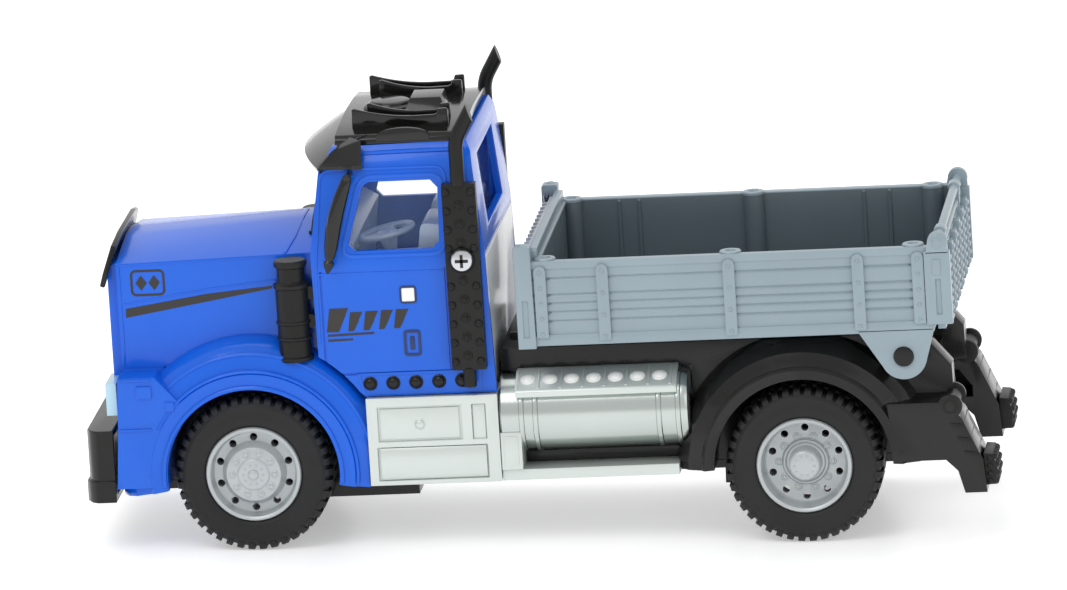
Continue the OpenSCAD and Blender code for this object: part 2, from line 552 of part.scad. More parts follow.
rib_x = [5.5, 19.7, 48.5, 77.8, 91.4];
column_x = [4.6, 48.9, 90.4];
module load_bed() color(BEDGREY) body_place() {
    difference() {
        union() {
            block([bed_x0, bed_x1], [-bed_y + 0.6, bed_y - 0.6], [bed_low, bed_top]);
            block([bed_x0, bed_x0 + 1.4], [-bed_y + 3, bed_y - 3], [bed_low, bed_top + 2.6]);
        }
        difference() {
            block([bed_x0 + bed_t, bed_x1 + 1], [-bed_y + 0.6 + bed_t, bed_y - 0.6 - bed_t],
                [bed_low + bed_t, bed_top + 5]);
            // half-round columns inside the walls
            left_and_right() for (x = column_x) translate([x, -bed_y + 1.8, bed_low])
                cylinder(d = 6.2, h = bed_top - bed_low);
        }
        left_and_right() for (x = column_x) translate([x, -bed_y + 1.8, bed_top - 2]) cylinder(d = 2.6, h = 9);
    }
    left_and_right() {
        // bands, ribs and corner posts outside
        block([bed_x0, bed_x1], [-bed_y, -bed_y + 0.6], [bed_low, -1.7]);
        block([bed_x0, bed_x1], [-bed_y, -bed_y + 0.6], [bed_top - 1.6, bed_top]);
        for (x = rib_x) block([x - 1.3, x + 1.3], [-bed_y - 0.5, -bed_y + 0.6], [-3.4, 14]);
        block([bed_x0 - 3.6, bed_x0 + 0.2], [-bed_y - 0.8, -bed_y + 3.2], [-4.8, 18.9]);
        block([92.8, 98.8], [-bed_y - 0.8, -bed_y + 1.3], [-2.7, 14.4]);
        // ears for the tailgate pins
        difference() {
            side_slab([[92.8, 14], [93.2, 17], [94.8, 18.6], [97.4, 18.6], [98.6, 17], [98.6, 14]],
                -bed_y - 0.8, -bed_y + 1.2);
            y_rod([gate_hinge_x, gate_hinge_z], 2.16, -bed_y - 2, 0);
        }
        // lug that hangs from the side and takes the pivot pin
        difference() {
            union() {
                y_rod([pivot_x, pivot_z], 10.6, -bed_y, -bed_y + 2.2);
                side_slab([[76.8, -4.4], [94.4, -4.4], [91.9, -8.4], [82.8, -13]], -bed_y, -bed_y + 2.2);
            }
            y_rod([pivot_x, pivot_z], pivot_d + 0.16, -bed_y - 1, -bed_y + 4);
        }
        translate([bed_x0, -23.5, 16]) rotate([0, -90, 0]) cylinder(d = 2.4, h = 2.2);
    }
}
module pivot_pins() color(BLACK) body_place() left_and_right() {
    y_rod([pivot_x, pivot_z], pivot_d, -bed_y - 0.6, -19);
}
module tailgate() color(BEDGREY) body_place() {
    block([gate_x, gate_x + 1.8], [-bed_y + 1.6, bed_y - 1.6], [-4.2, 14]);
    for (y = [-26, -9, 9, 26]) block([gate_x + 1.8, gate_x + 3.6], [y - 1.4, y + 1.4], [-3.6, 13]);
    for (z = [0, 5, 10]) block([gate_x + 1.8, gate_x + 3], [-bed_y + 2.4, bed_y - 2.4], [z, z + 1.6]);
    y_rod([gate_hinge_x, gate_hinge_z], 2, -bed_y - 1.6, bed_y + 1.6);
    for (y = [-24, 24]) block([gate_x - 0.4, gate_x + 2.2], [y - 2, y + 2], [13, 17.6]);
}

cab_shell();
hood_fenders();
glazing();
interior();
steering_wheel();
seats();
cab_back_panel();
grille();
headlights();
fog_lamps();
bug_deflector();
front_bumper();
roof_fairing();
side_markers();
exhaust_left();
exhaust_right();
exhaust_screws();
air_cleaner_left();
air_cleaner_right();
mirror_left();
mirror_right();
side_box_left();
side_box_right();
fuel_tank_left();
fuel_tank_right();
chassis();
base_plate();
base_screws();
tail_lenses();
front_axle();
rear_axle();
rim_front_left();
rim_front_right();
rim_rear_left();
rim_rear_right();
tyre_front_left();
tyre_front_right();
tyre_rear_left();
tyre_rear_right();
motor_case();
motor_cover();
axle_gear();
idler_gear();
flywheel();
load_bed();
pivot_pins();
tailgate();
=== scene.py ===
"""Toy dump truck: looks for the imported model.

Lengths in the tables are millimetres in the truck's own frame, which leans a little forward.
"""
import json
import math

import bmesh
import bpy
from mathutils import Matrix, Vector


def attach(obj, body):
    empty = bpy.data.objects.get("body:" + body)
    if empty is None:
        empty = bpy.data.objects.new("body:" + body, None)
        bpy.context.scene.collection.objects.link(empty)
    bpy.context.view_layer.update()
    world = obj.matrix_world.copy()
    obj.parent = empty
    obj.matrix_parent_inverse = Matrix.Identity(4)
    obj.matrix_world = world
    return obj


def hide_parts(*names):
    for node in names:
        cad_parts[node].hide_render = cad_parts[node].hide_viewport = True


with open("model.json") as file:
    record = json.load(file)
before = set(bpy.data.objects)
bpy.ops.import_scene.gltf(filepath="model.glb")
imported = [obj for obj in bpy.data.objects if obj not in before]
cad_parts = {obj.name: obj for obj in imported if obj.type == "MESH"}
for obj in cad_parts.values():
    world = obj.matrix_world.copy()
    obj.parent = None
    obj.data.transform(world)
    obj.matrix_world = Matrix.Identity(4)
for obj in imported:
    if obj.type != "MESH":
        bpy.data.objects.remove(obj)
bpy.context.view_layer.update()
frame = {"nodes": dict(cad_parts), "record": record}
nodes = frame["nodes"]
scene = bpy.context.scene

# ---- frame ----

RAKE = math.radians(1.3)             # the truck's body leans forward by this much
BODY = Matrix.Translation((-0.0036, 0, 0.0516)) @ Matrix.Rotation(-RAKE, 4, "Y")
ROW_MM = Matrix.Scale(0.001, 4)      # row millimetres to row metres
TO_ROW = BODY @ ROW_MM               # body-frame millimetres to row metres
TYRE_R = 18.0
FRONT_X, REAR_X = -65.9, 60.1        # axles, in the row frame
WELD = 2e-6                          # vertices nearer than this become one, in metres


# ---- materials ----

def plastic(name, color, rough=0.3, coat=0.0, bump=0.05, grain=900.0, edge_highlight=0.0, metallic=0.0,
            vary=0.05, spec=0.5):
    """Moulded plastic: slow colour drift, fine grain, and convex edges painted lighter as a
    highlight.
    """
    m = bpy.data.materials.new(name)
    m.use_nodes = True
    nt = m.node_tree
    n, link = nt.nodes, nt.links.new
    b = n["Principled BSDF"]
    b.inputs["Metallic"].default_value = metallic
    b.inputs["Coat Weight"].default_value = coat
    b.inputs["Coat Roughness"].default_value = 0.06
    b.inputs["Specular IOR Level"].default_value = spec
    tc = n.new("ShaderNodeTexCoord")
    slow = n.new("ShaderNodeTexNoise")
    slow.inputs["Scale"].default_value = 38.0
    slow.inputs["Detail"].default_value = 3.0
    link(tc.outputs["Object"], slow.inputs["Vector"])
    fine = n.new("ShaderNodeTexNoise")
    fine.inputs["Scale"].default_value = grain
    fine.inputs["Detail"].default_value = 4.0
    fine.inputs["Roughness"].default_value = 0.6
    link(tc.outputs["Object"], fine.inputs["Vector"])
    ramp = n.new("ShaderNodeValToRGB")
    lo = [max(0.0, c * (1 - vary)) for c in color]
    hi = [min(1.0, c * (1 + vary) + vary * 0.01) for c in color]
    ramp.color_ramp.elements[0].position = 0.3
    ramp.color_ramp.elements[0].color = (*lo, 1)
    ramp.color_ramp.elements[1].position = 0.7
    ramp.color_ramp.elements[1].color = (*hi, 1)
    link(slow.outputs["Fac"], ramp.inputs["Fac"])
    out = ramp.outputs["Color"]
    # painted highlight: convex edges, found by pointiness, get a lighter colour
    if edge_highlight:
        geo = n.new("ShaderNodeNewGeometry")
        edge = n.new("ShaderNodeMapRange")
        edge.inputs["From Min"].default_value = 0.53
        edge.inputs["From Max"].default_value = 0.62
        edge.inputs["To Max"].default_value = edge_highlight
        link(geo.outputs["Pointiness"], edge.inputs["Value"])
        mix = n.new("ShaderNodeMix")
        mix.data_type = "RGBA"
        link(edge.outputs["Result"], mix.inputs["Factor"])
        link(out, mix.inputs["A"])
        mix.inputs["B"].default_value = (*[min(1.0, c * 1.5 + 0.05) for c in color], 1)
        out = mix.outputs["Result"]
    link(out, b.inputs["Base Color"])
    r = n.new("ShaderNodeMapRange")
    r.inputs["To Min"].default_value = max(0.03, rough - 0.05)
    r.inputs["To Max"].default_value = rough + 0.07
    link(fine.outputs["Fac"], r.inputs["Value"])
    link(r.outputs["Result"], b.inputs["Roughness"])
    bp = n.new("ShaderNodeBump")
    bp.inputs["Strength"].default_value = bump
    bp.inputs["Distance"].default_value = 0.0002
    link(fine.outputs["Fac"], bp.inputs["Height"])
    link(bp.outputs["Normal"], b.inputs["Normal"])
    return m


def clear(name, color, rough=0.04, alpha=0.3):
    """See-through plastic."""
    m = plastic(name, color, rough=rough, bump=0.02, vary=0.02)
    b = m.node_tree.nodes["Principled BSDF"]
    b.inputs["Alpha"].default_value = alpha
    return m


# in these looks, the amount that lightens convex edges is a painted highlight, not rubbing
BLUE = plastic("Blue plastic", (0.004, 0.112, 0.66), rough=0.2, coat=0.15, edge_highlight=0.05, spec=0.3)
BLACK = plastic("Black plastic", (0.0075, 0.0075, 0.007), rough=0.2, coat=0.1, edge_highlight=0.12, spec=0.25)
SATIN_BLACK = plastic("Satin black plastic", (0.0105, 0.0105, 0.0098), rough=0.34, bump=0.08,
                      spec=0.22, edge_highlight=0.12)
SILVER = plastic("Silver plastic", (0.60, 0.645, 0.62), rough=0.34, metallic=0.5, bump=0.05,
                 grain=2200, vary=0.03)
BED_GREY = plastic("Bed grey plastic", (0.255, 0.325, 0.365), rough=0.3, coat=0.15, bump=0.08,
                   edge_highlight=0.08)
RIM_GREY = plastic("Rim silver plastic", (0.46, 0.49, 0.50), rough=0.33, metallic=0.3, bump=0.08)
RUBBER = plastic("Tyre rubber", (0.013, 0.013, 0.0135), rough=0.5, bump=0.2, grain=1400, vary=0.2,
                 spec=0.3)
STEEL = plastic("Zinc steel", (0.55, 0.56, 0.58), rough=0.25, metallic=1.0, bump=0.05)
PANEL_WHITE = plastic("Back panel plastic", (0.92, 0.93, 0.91), rough=0.3, coat=0.3, bump=0.04,
                      vary=0.02)
INTERIOR = plastic("Interior plastic", (0.56, 0.66, 0.78), rough=0.3, bump=0.06, metallic=0.15,
                   edge_highlight=0.1)
GEAR = plastic("Acetal", (0.78, 0.76, 0.68), rough=0.45)
PRINT = plastic("Dark print", (0.022, 0.019, 0.016), rough=0.4, bump=0.04)
NAVY = plastic("Dark blue print", (0.006, 0.025, 0.12), rough=0.3)
WHITE = plastic("White print", (0.86, 0.87, 0.85), rough=0.35)
GLASS = clear("Clear glazing", (0.3, 0.42, 0.55), alpha=0.07)
LENS = plastic("Lamp lens", (0.78, 0.82, 0.82), rough=0.12, coat=0.6, metallic=0.3)
# the bed grey made darker for the inside faces: painted shade in the bed's hollow
BED_INSIDE_SHADE = plastic("Bed inside painted shade", (0.088, 0.118, 0.134), rough=0.34, coat=0.15, bump=0.08,
                    edge_highlight=0.1)
PALE_GREY = plastic("Pale grey plastic", (0.5, 0.53, 0.53), rough=0.32, bump=0.06)
NAVY_PLASTIC = plastic("Dark blue plastic", (0.02, 0.03, 0.07), rough=0.25, coat=0.3)
ROOF_BLACK = plastic("Roof black plastic", (0.0065, 0.0065, 0.006), rough=0.13, coat=0.25, edge_highlight=0.1,
                     spec=0.3)
BRUSHED = plastic("Brushed silver plastic", (0.50, 0.54, 0.52), rough=0.2, metallic=0.95, bump=0.03,
                  grain=2600, vary=0.03)
CYAN_CLEAR = plastic("Lamp edge plastic", (0.45, 0.68, 0.78), rough=0.12, coat=0.5)

SLOT_LOOK = {
    "cab_blue_plastic": BLUE, "black_plastic": BLACK, "silver_plastic": SILVER,
    "bed_grey_plastic": BED_GREY, "clear_plastic": GLASS, "lamp_clear_plastic": LENS,
    "interior_plastic": INTERIOR, "steel": STEEL, "rim_silver": RIM_GREY, "tyre_rubber": RUBBER,
    "gear_plastic": GEAR,
}
# the slot of a look, for pieces that don't name one
SLOT_OF = {s["node"]: s["material_slot"] for s in frame["record"]["subparts"]}
BODY_OF = {n: b for b, ns in frame["record"]["behaviour"]["bodies"].items() for n in ns}


# ---- mesh helpers ----

def finish_mesh(name, bm, material, body, replaces=(), bevel=0.0, segments=2, angle=28.0,
                smooth=32.0):
    """Rounds the sharp edges of a mesh in row metres and puts it on its body."""
    bmesh.ops.remove_doubles(bm, verts=bm.verts, dist=WELD)
    if bevel:
        sharp = [e for e in bm.edges if e.is_manifold
                 and e.calc_face_angle(0) > math.radians(angle)]
        bmesh.ops.bevel(bm, geom=sharp, offset=bevel, segments=segments, profile=0.6,
                        affect="EDGES", clamp_overlap=True)
    bmesh.ops.recalc_face_normals(bm, faces=bm.faces)
    me = bpy.data.meshes.new(name)
    bm.to_mesh(me)
    bm.free()
    me.shade_smooth()
    me.set_sharp_from_angle(angle=math.radians(smooth))
    me.materials.append(material)
    ob = bpy.data.objects.new(name, me)
    scene.collection.objects.link(ob)
    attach(ob, body)
    if replaces:
        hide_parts(*replaces)
    return ob


def rounded(node, bevel=0.00025, segments=2, material=None):
    """A CAD node's own shape with moulded, rounded edges."""
    src = nodes[node]
    bm = bmesh.new()
    bm.from_mesh(src.data)
    bmesh.ops.remove_doubles(bm, verts=bm.verts, dist=WELD)
    bmesh.ops.dissolve_limit(bm, angle_limit=math.radians(0.6), verts=bm.verts, edges=bm.edges,
                             use_dissolve_boundaries=False, delimit=set())
    return finish_mesh(node + "_moulded", bm, material or SLOT_LOOK[SLOT_OF[node]], BODY_OF[node],
                       (node,), bevel, segments)


class Shape:
    """Collects closed solids in millimetres."""

    def __init__(self):
        self.bm = bmesh.new()

    def skin(self, rings, loop=False):
        """Faces between rings of equally many points; loop joins last to first, else both end."""
        vs = [[self.bm.verts.new(p) for p in ring] for ring in rings]
        n = len(vs[0])
        for a, b in zip(vs, vs[1:] + vs[:1] if loop else vs[1:]):
            for i in range(n):
                j = (i + 1) % n
                self.bm.faces.new((a[i], a[j], b[j], b[i]))
        if not loop:
            self.bm.faces.new(vs[0][::-1])
            self.bm.faces.new(vs[-1])
        return self

    def along_y(self, outline, y0, y1):
        return self.skin([[(x, y, z) for x, z in outline] for y in (y0, y1)])

    def along_x(self, outline, x0, x1):
        return self.skin([[(x, y, z) for y, z in outline] for x in (x0, x1)])

    def box(self, x, y, z):
        return self.along_y([(x[0], z[0]), (x[1], z[0]), (x[1], z[1]), (x[0], z[1])], y[0], y[1])

    def lathe(self, origin, direction, profile, n=48, loop=False, phase=0.0):
        """profile is [(radius, height along direction)]; loop closes the profile on itself."""
        o, d = Vector(origin), Vector(direction).normalized()
        u = d.orthogonal().normalized() if abs(d.y) < 0.99 else Vector((1, 0, 0))
        v = d.cross(u)
        angles = [phase + 2 * math.pi * k / n for k in range(n)]
        if loop:
            rings = [[o + d * h + (u * math.cos(a) + v * math.sin(a)) * r for r, h in profile]
                     for a in angles]
            return self.skin(rings, loop=True)
        return self.skin([[o + d * h + (u * math.cos(a) + v * math.sin(a)) * r for a in angles]
                          for r, h in profile])

    def rod(self, a, b, r, r2=None, n=32, edge=0.0):
        a, b = Vector(a), Vector(b)
        length = (b - a).length
        r2 = r if r2 is None else r2
        profile = [(r - edge, 0), (r, edge), (r2, length - edge), (r2 - edge,
                length)] if edge else [(r, 0), (r2, length)]
        return self.lathe(a, b - a, profile, n)

    def dome(self, centre, direction, r, h, n=16, sink=0.3):
        profile = [(r, -sink)] + [(r * math.cos(t), h * math.sin(t)) for t in (0, 0.4, 0.8, 1.15,
                1.4)]
        return self.lathe(centre, direction, profile, n)

    def tube(self, path, radii, n=24):
        """A round tube through the points, with one radius for each."""
        pts = [Vector(p) for p in path]
        side = Vector((0, 1, 0))
        rings = []
        for k, p in enumerate(pts):
            d = (pts[min(k + 1, len(pts) - 1)] - pts[max(k - 1, 0)]).normalized()
            u = (side - d * side.dot(d)).normalized()
            v = d.cross(u)
            rings.append([p + (u * math.cos(t) + v * math.sin(t)) * radii[k]
                          for t in (2 * math.pi * q / n for q in range(n))])
        return self.skin(rings)

    def ribbon(self, path, width, surface, proud=0.2, sink=0.3, closed=False):
        """A band along a path of (x, z) points on a side surface, standing proud of it."""
        n = len(path)
        rings = []
        for i, (x, z) in enumerate(path):
            a = Vector(path[i - 1] if closed or i else path[i])
            b = Vector(path[(i + 1) % n] if closed or i < n - 1 else path[i])
            here = Vector((x, z))
            first = (here - a).normalized() if (here - a).length > 1e-6 else (b - here).normalized()
            second = (b - here).normalized() if (b - here).length > 1e-6 else first
            side = Vector((-(first + second).y, (first + second).x)).normalized()
            reach = width / 2 / max(0.4, side.dot(Vector((-first.y, first.x))))
            y = surface(x, z)
            edge = [(x + side.x * reach, z + side.y * reach), (x - side.x * reach,
                    z - side.y * reach)]
            rings.append([(edge[0][0], y + sink, edge[0][1]), (edge[0][0], y - proud, edge[0][1]),
                          (edge[1][0], y - proud, edge[1][1]), (edge[1][0], y + sink, edge[1][1])])
        return self.skin(rings, loop=closed)

    def plate(self, outline, surface, proud=0.15, sink=0.3):
        """A thin closed patch on a side surface; outline is (x, z) points."""
        return self.skin([[(x, surface(x, z) + d, z) for x, z in outline] for d in (sink, -proud)])

    def sweep(self, centre, profile, a0, a1, n=60):
        """Turns a closed (radius, y) profile round a cross axis, from a0 to a1 degrees."""
        turn = [math.radians(a0 + (a1 - a0) * k / (n - 1)) for k in range(n)]
        return self.skin([[(centre[0] + r * math.cos(a), y, centre[1] + r * math.sin(a)) for r,
                           y in profile] for a in turn])

    def mirrored(self):
        """Adds the copy across the truck's middle plane."""
        geo = bmesh.ops.duplicate(self.bm, geom=self.bm.verts[:] + self.bm.edges[:]
                                  + self.bm.faces[:])["geom"]
        new = [g for g in geo if isinstance(g, bmesh.types.BMVert)]
        bmesh.ops.scale(self.bm, vec=(1, -1, 1), verts=new)
        return self

    def on(self, hand):
        """Flips what was made for the left side over to the right, if that is the hand."""
        if hand == "right":
            bmesh.ops.scale(self.bm, vec=(1, -1, 1), verts=self.bm.verts)
        return self

    def cut(self, cutter):
        """Takes the solids of another Shape away."""
        pair = []
        for shape in (self, cutter):
            bmesh.ops.recalc_face_normals(shape.bm, faces=shape.bm.faces)
            me = bpy.data.meshes.new("work")
            shape.bm.to_mesh(me)
            ob = bpy.data.objects.new("work", me)
            scene.collection.objects.link(ob)
            pair.append(ob)
        mod = pair[0].modifiers.new("cut", "BOOLEAN")
        mod.operation = "DIFFERENCE"
        mod.solver = "EXACT"
        mod.object = pair[1]
        depsgraph = bpy.context.evaluated_depsgraph_get()
        mesh = bpy.data.meshes.new_from_object(pair[0].evaluated_get(depsgraph))
        self.bm.clear()
        self.bm.from_mesh(mesh)
        for ob in pair:
            bpy.data.objects.remove(ob)
        cutter.bm.free()
        return self

    def done(self, name, material, replaces=(), body="chassis", slot=None, bevel=0.25, segments=2,
             smooth=32.0, place=TO_ROW):
        """Makes the piece; bevel is in millimetres."""
        self.bm.transform(place)
        return finish_mesh(name, self.bm, material, body, replaces,
                           bevel / 1000, segments, smooth=smooth)


def around(n, r, phase=0.0):
    """n points on a circle."""
    return [(r * math.cos(phase + 2 * math.pi * k / n), r * math.sin(phase + 2 * math.pi * k / n))
            for k in range(n)]


def arc(cx, cz, r, a0, a1, n):
    """Points on an arc in degrees, ends included."""
    return [(cx + r * math.cos(math.radians(a0 + (a1 - a0) * k / (n - 1))),
             cz + r * math.sin(math.radians(a0 + (a1 - a0) * k / (n - 1)))) for k in range(n)]


# ---- tyres and rims ----

TYRE = [(11.0, 20.9), (11.5, 20.4), (13.4, 20.2), (15.4, 20.35), (16.3, 20.7), (16.9, 21.5),
        (17.25, 22.6), (17.3, 25.0), (17.3, 28.0), (17.25, 30.4), (16.9, 31.5), (16.3, 32.2),
        (15.5, 32.55), (15.2, 32.45), (13.6, 32.8), (12.2, 32.75), (11.4, 32.5), (11.0, 32.0)]
LUG = [(16.2, 32.3), (16.7, 32.25), (17.5, 31.8), (17.95, 31.1), (17.97, 27.9), (17.2, 27.8),
       (16.6, 29.5)]
LUGS, LUG_HALF, TREAD_MID = 42, 0.74, 26.5


def tyre(node, x, side, body):
    s = Shape()
    hub = (x, 0, TYRE_R)
    out = (0, side, 0)
    s.lathe(hub, out, TYRE, n=120, loop=True)
    s.lathe(hub, out, [(17.2, 25.4), (17.85, 25.5), (17.95, 25.8), (17.95, 27.2), (17.85, 27.5),
                       (17.2, 27.6)], n=120, loop=True)
    for k in range(LUGS):
        for flip in (1, -1):
            a = 2 * math.pi * (k + (0.25 if flip < 0 else 0)) / LUGS
            radial = Vector((math.cos(a), 0, math.sin(a)))
            along = Vector((-math.sin(a), 0, math.cos(a)))
            rings = []
            for w in (-LUG_HALF, LUG_HALF):
                ring = []
                for r, h in LUG:
                    h = h if flip > 0 else 2 * TREAD_MID - h
                    ring.append(Vector(hub) + radial * math.sqrt(r * r - w * w) + along * w
                                + Vector((0, side * h, 0)))
                rings.append(ring)
            s.skin(rings)
    s.done(node + "_tread", RUBBER, (node,), body=body, bevel=0.0, smooth=38, place=ROW_MM)


LIP = [(10.95, 31.7), (10.95, 32.3), (10.7, 32.7), (10.3, 32.78), (9.95, 32.55), (9.8, 32.0)]
BACK = [(3.0, 22.0), (3.0, 26.0), (9.2, 26.0), (9.3, 21.3), (10.95, 21.3)]
RIM_FACE = {
    "front": [(9.75, 30.6), (9.3, 29.9), (8.8, 29.75), (7.4, 30.1), (6.7, 31.0), (6.45, 31.9),
              (6.2, 32.35), (5.8, 32.55), (3.75, 32.7), (3.6, 32.9), (3.4, 33.1), (3.0, 33.2),
              (1.25, 33.25), (1.1, 33.6), (0.9, 33.75), (0.3, 33.8)],
    "rear": [(9.75, 29.4), (9.4, 28.4), (8.9, 28.0), (5.5, 27.7), (5.25, 27.95), (5.05, 28.5),
             (4.7, 28.6), (4.3, 28.3), (3.8, 28.4), (3.65, 31.7), (3.5, 32.3), (3.1, 32.7),
             (2.6, 32.85), (0.3, 32.95)],
}


def rim(node, x, side, body, kind):
    hub, out = Vector((x, 0, TYRE_R)), Vector((0, side, 0))
    s = Shape()
    s.lathe(hub, out, RIM_FACE[kind][::-1] + LIP[::-1] + BACK[::-1], n=96)
    hole_r, nut_r, nut_h = (8.2, 4.9, 32.62) if kind == "front" else (7.95, 6.15, 27.75)
    holes = Shape()
    for a, b in around(10, hole_r, math.pi / 10):
        holes.rod(hub + Vector((a, side * 24, b)), hub + Vector((a, side * 33, b)), 0.86, n=24)
    s.cut(holes)
    for a, b in around(10, nut_r):
        s.lathe(hub + Vector((a, side * nut_h, b)), out, [(0.9, -0.4), (0.88, 0.12), (0.72, 0.24),
                (0.5, 0.2), (0.42, 0.42), (0.3, 0.5), (0.1, 0.52)], n=20)
    for a, b in around(10, 2.3):
        s.dome(hub + Vector((a, side * (33.2 if kind == "front" else 32.85), b)), out, 0.28, 0.22,
               n=12)
    s.done(node + "_moulded", RIM_GREY, (node,), body=body, bevel=0.0, smooth=34, place=ROW_MM)


for end, axle_x in (("front", FRONT_X), ("rear", REAR_X)):
    for hand, sign in (("left", -1), ("right", 1)):
        tyre(f"tyre_{end}_{hand}", axle_x, sign, f"{end}_wheels")
        rim(f"rim_{end}_{hand}", axle_x, sign, f"{end}_wheels", end)

# ---- load bed ----

BED_X = (3.4, 94.4)
BED_LOW, BED_FLOOR, BED_TOP = -4.4, -2.6, 15.2
GROOVES = (1.2, 3.3, 5.3, 7.3, 11.1)
RIBS = ((5.5, 5, -2.4), (19.7, 4, -3.4), (48.5, 4, -3.4), (77.8, 4, -3.4), (91.4, 5, -2.4))
COLUMNS = (6.6, 48.9, 90.4)
BOARDS, FLOOR_WIDTH, HEAD_WIDTH = 9, 64.6, 64.0
PIVOT = (87.1, -10)                  # (x, z) of the bed's pivot
GATE_PIN = (96.1, 16.4)              # (x, z) of the tailgate's pin


def bed_side():
    """The left wall, with its planks, ribs and rivets."""
    s = Shape()
    wall = [(-35.0, BED_LOW + 0.3), (-35.0, -2.1), (-34.9, -1.85), (-34.55, -1.7)]
    for z in GROOVES:
        wall += [(-34.65, z - 0.5), (-34.5, z - 0.3), (-34.2, z), (-34.5, z + 0.3),
                 (-34.65, z + 0.5)]
    wall += [(-34.65, 13.2), (-34.95, 13.5), (-35.0, 13.7), (-35.0, 15.0), (-34.8, BED_TOP),
             (-32.8, BED_TOP), (-32.6, 15.0), (-32.6, BED_LOW + 0.3), (-32.8, BED_LOW),
             (-34.8, BED_LOW)]
    s.along_x(wall, *BED_X)
    for x, rivets, foot in RIBS:
        outline = [(x - 1.35, foot), (x + 1.35, foot)] + arc(x, 12.9, 1.35, 0, 180, 11)
        s.along_y(outline, -35.5, -34.2)
        for k in range(rivets):
            s.dome((x, -35.48, 12.7 - k * (14.2 if foot > -3 else 15.2) / (rivets - 1)), (0, -1, 0),
                   0.5, 0.32, n=16)
    return s


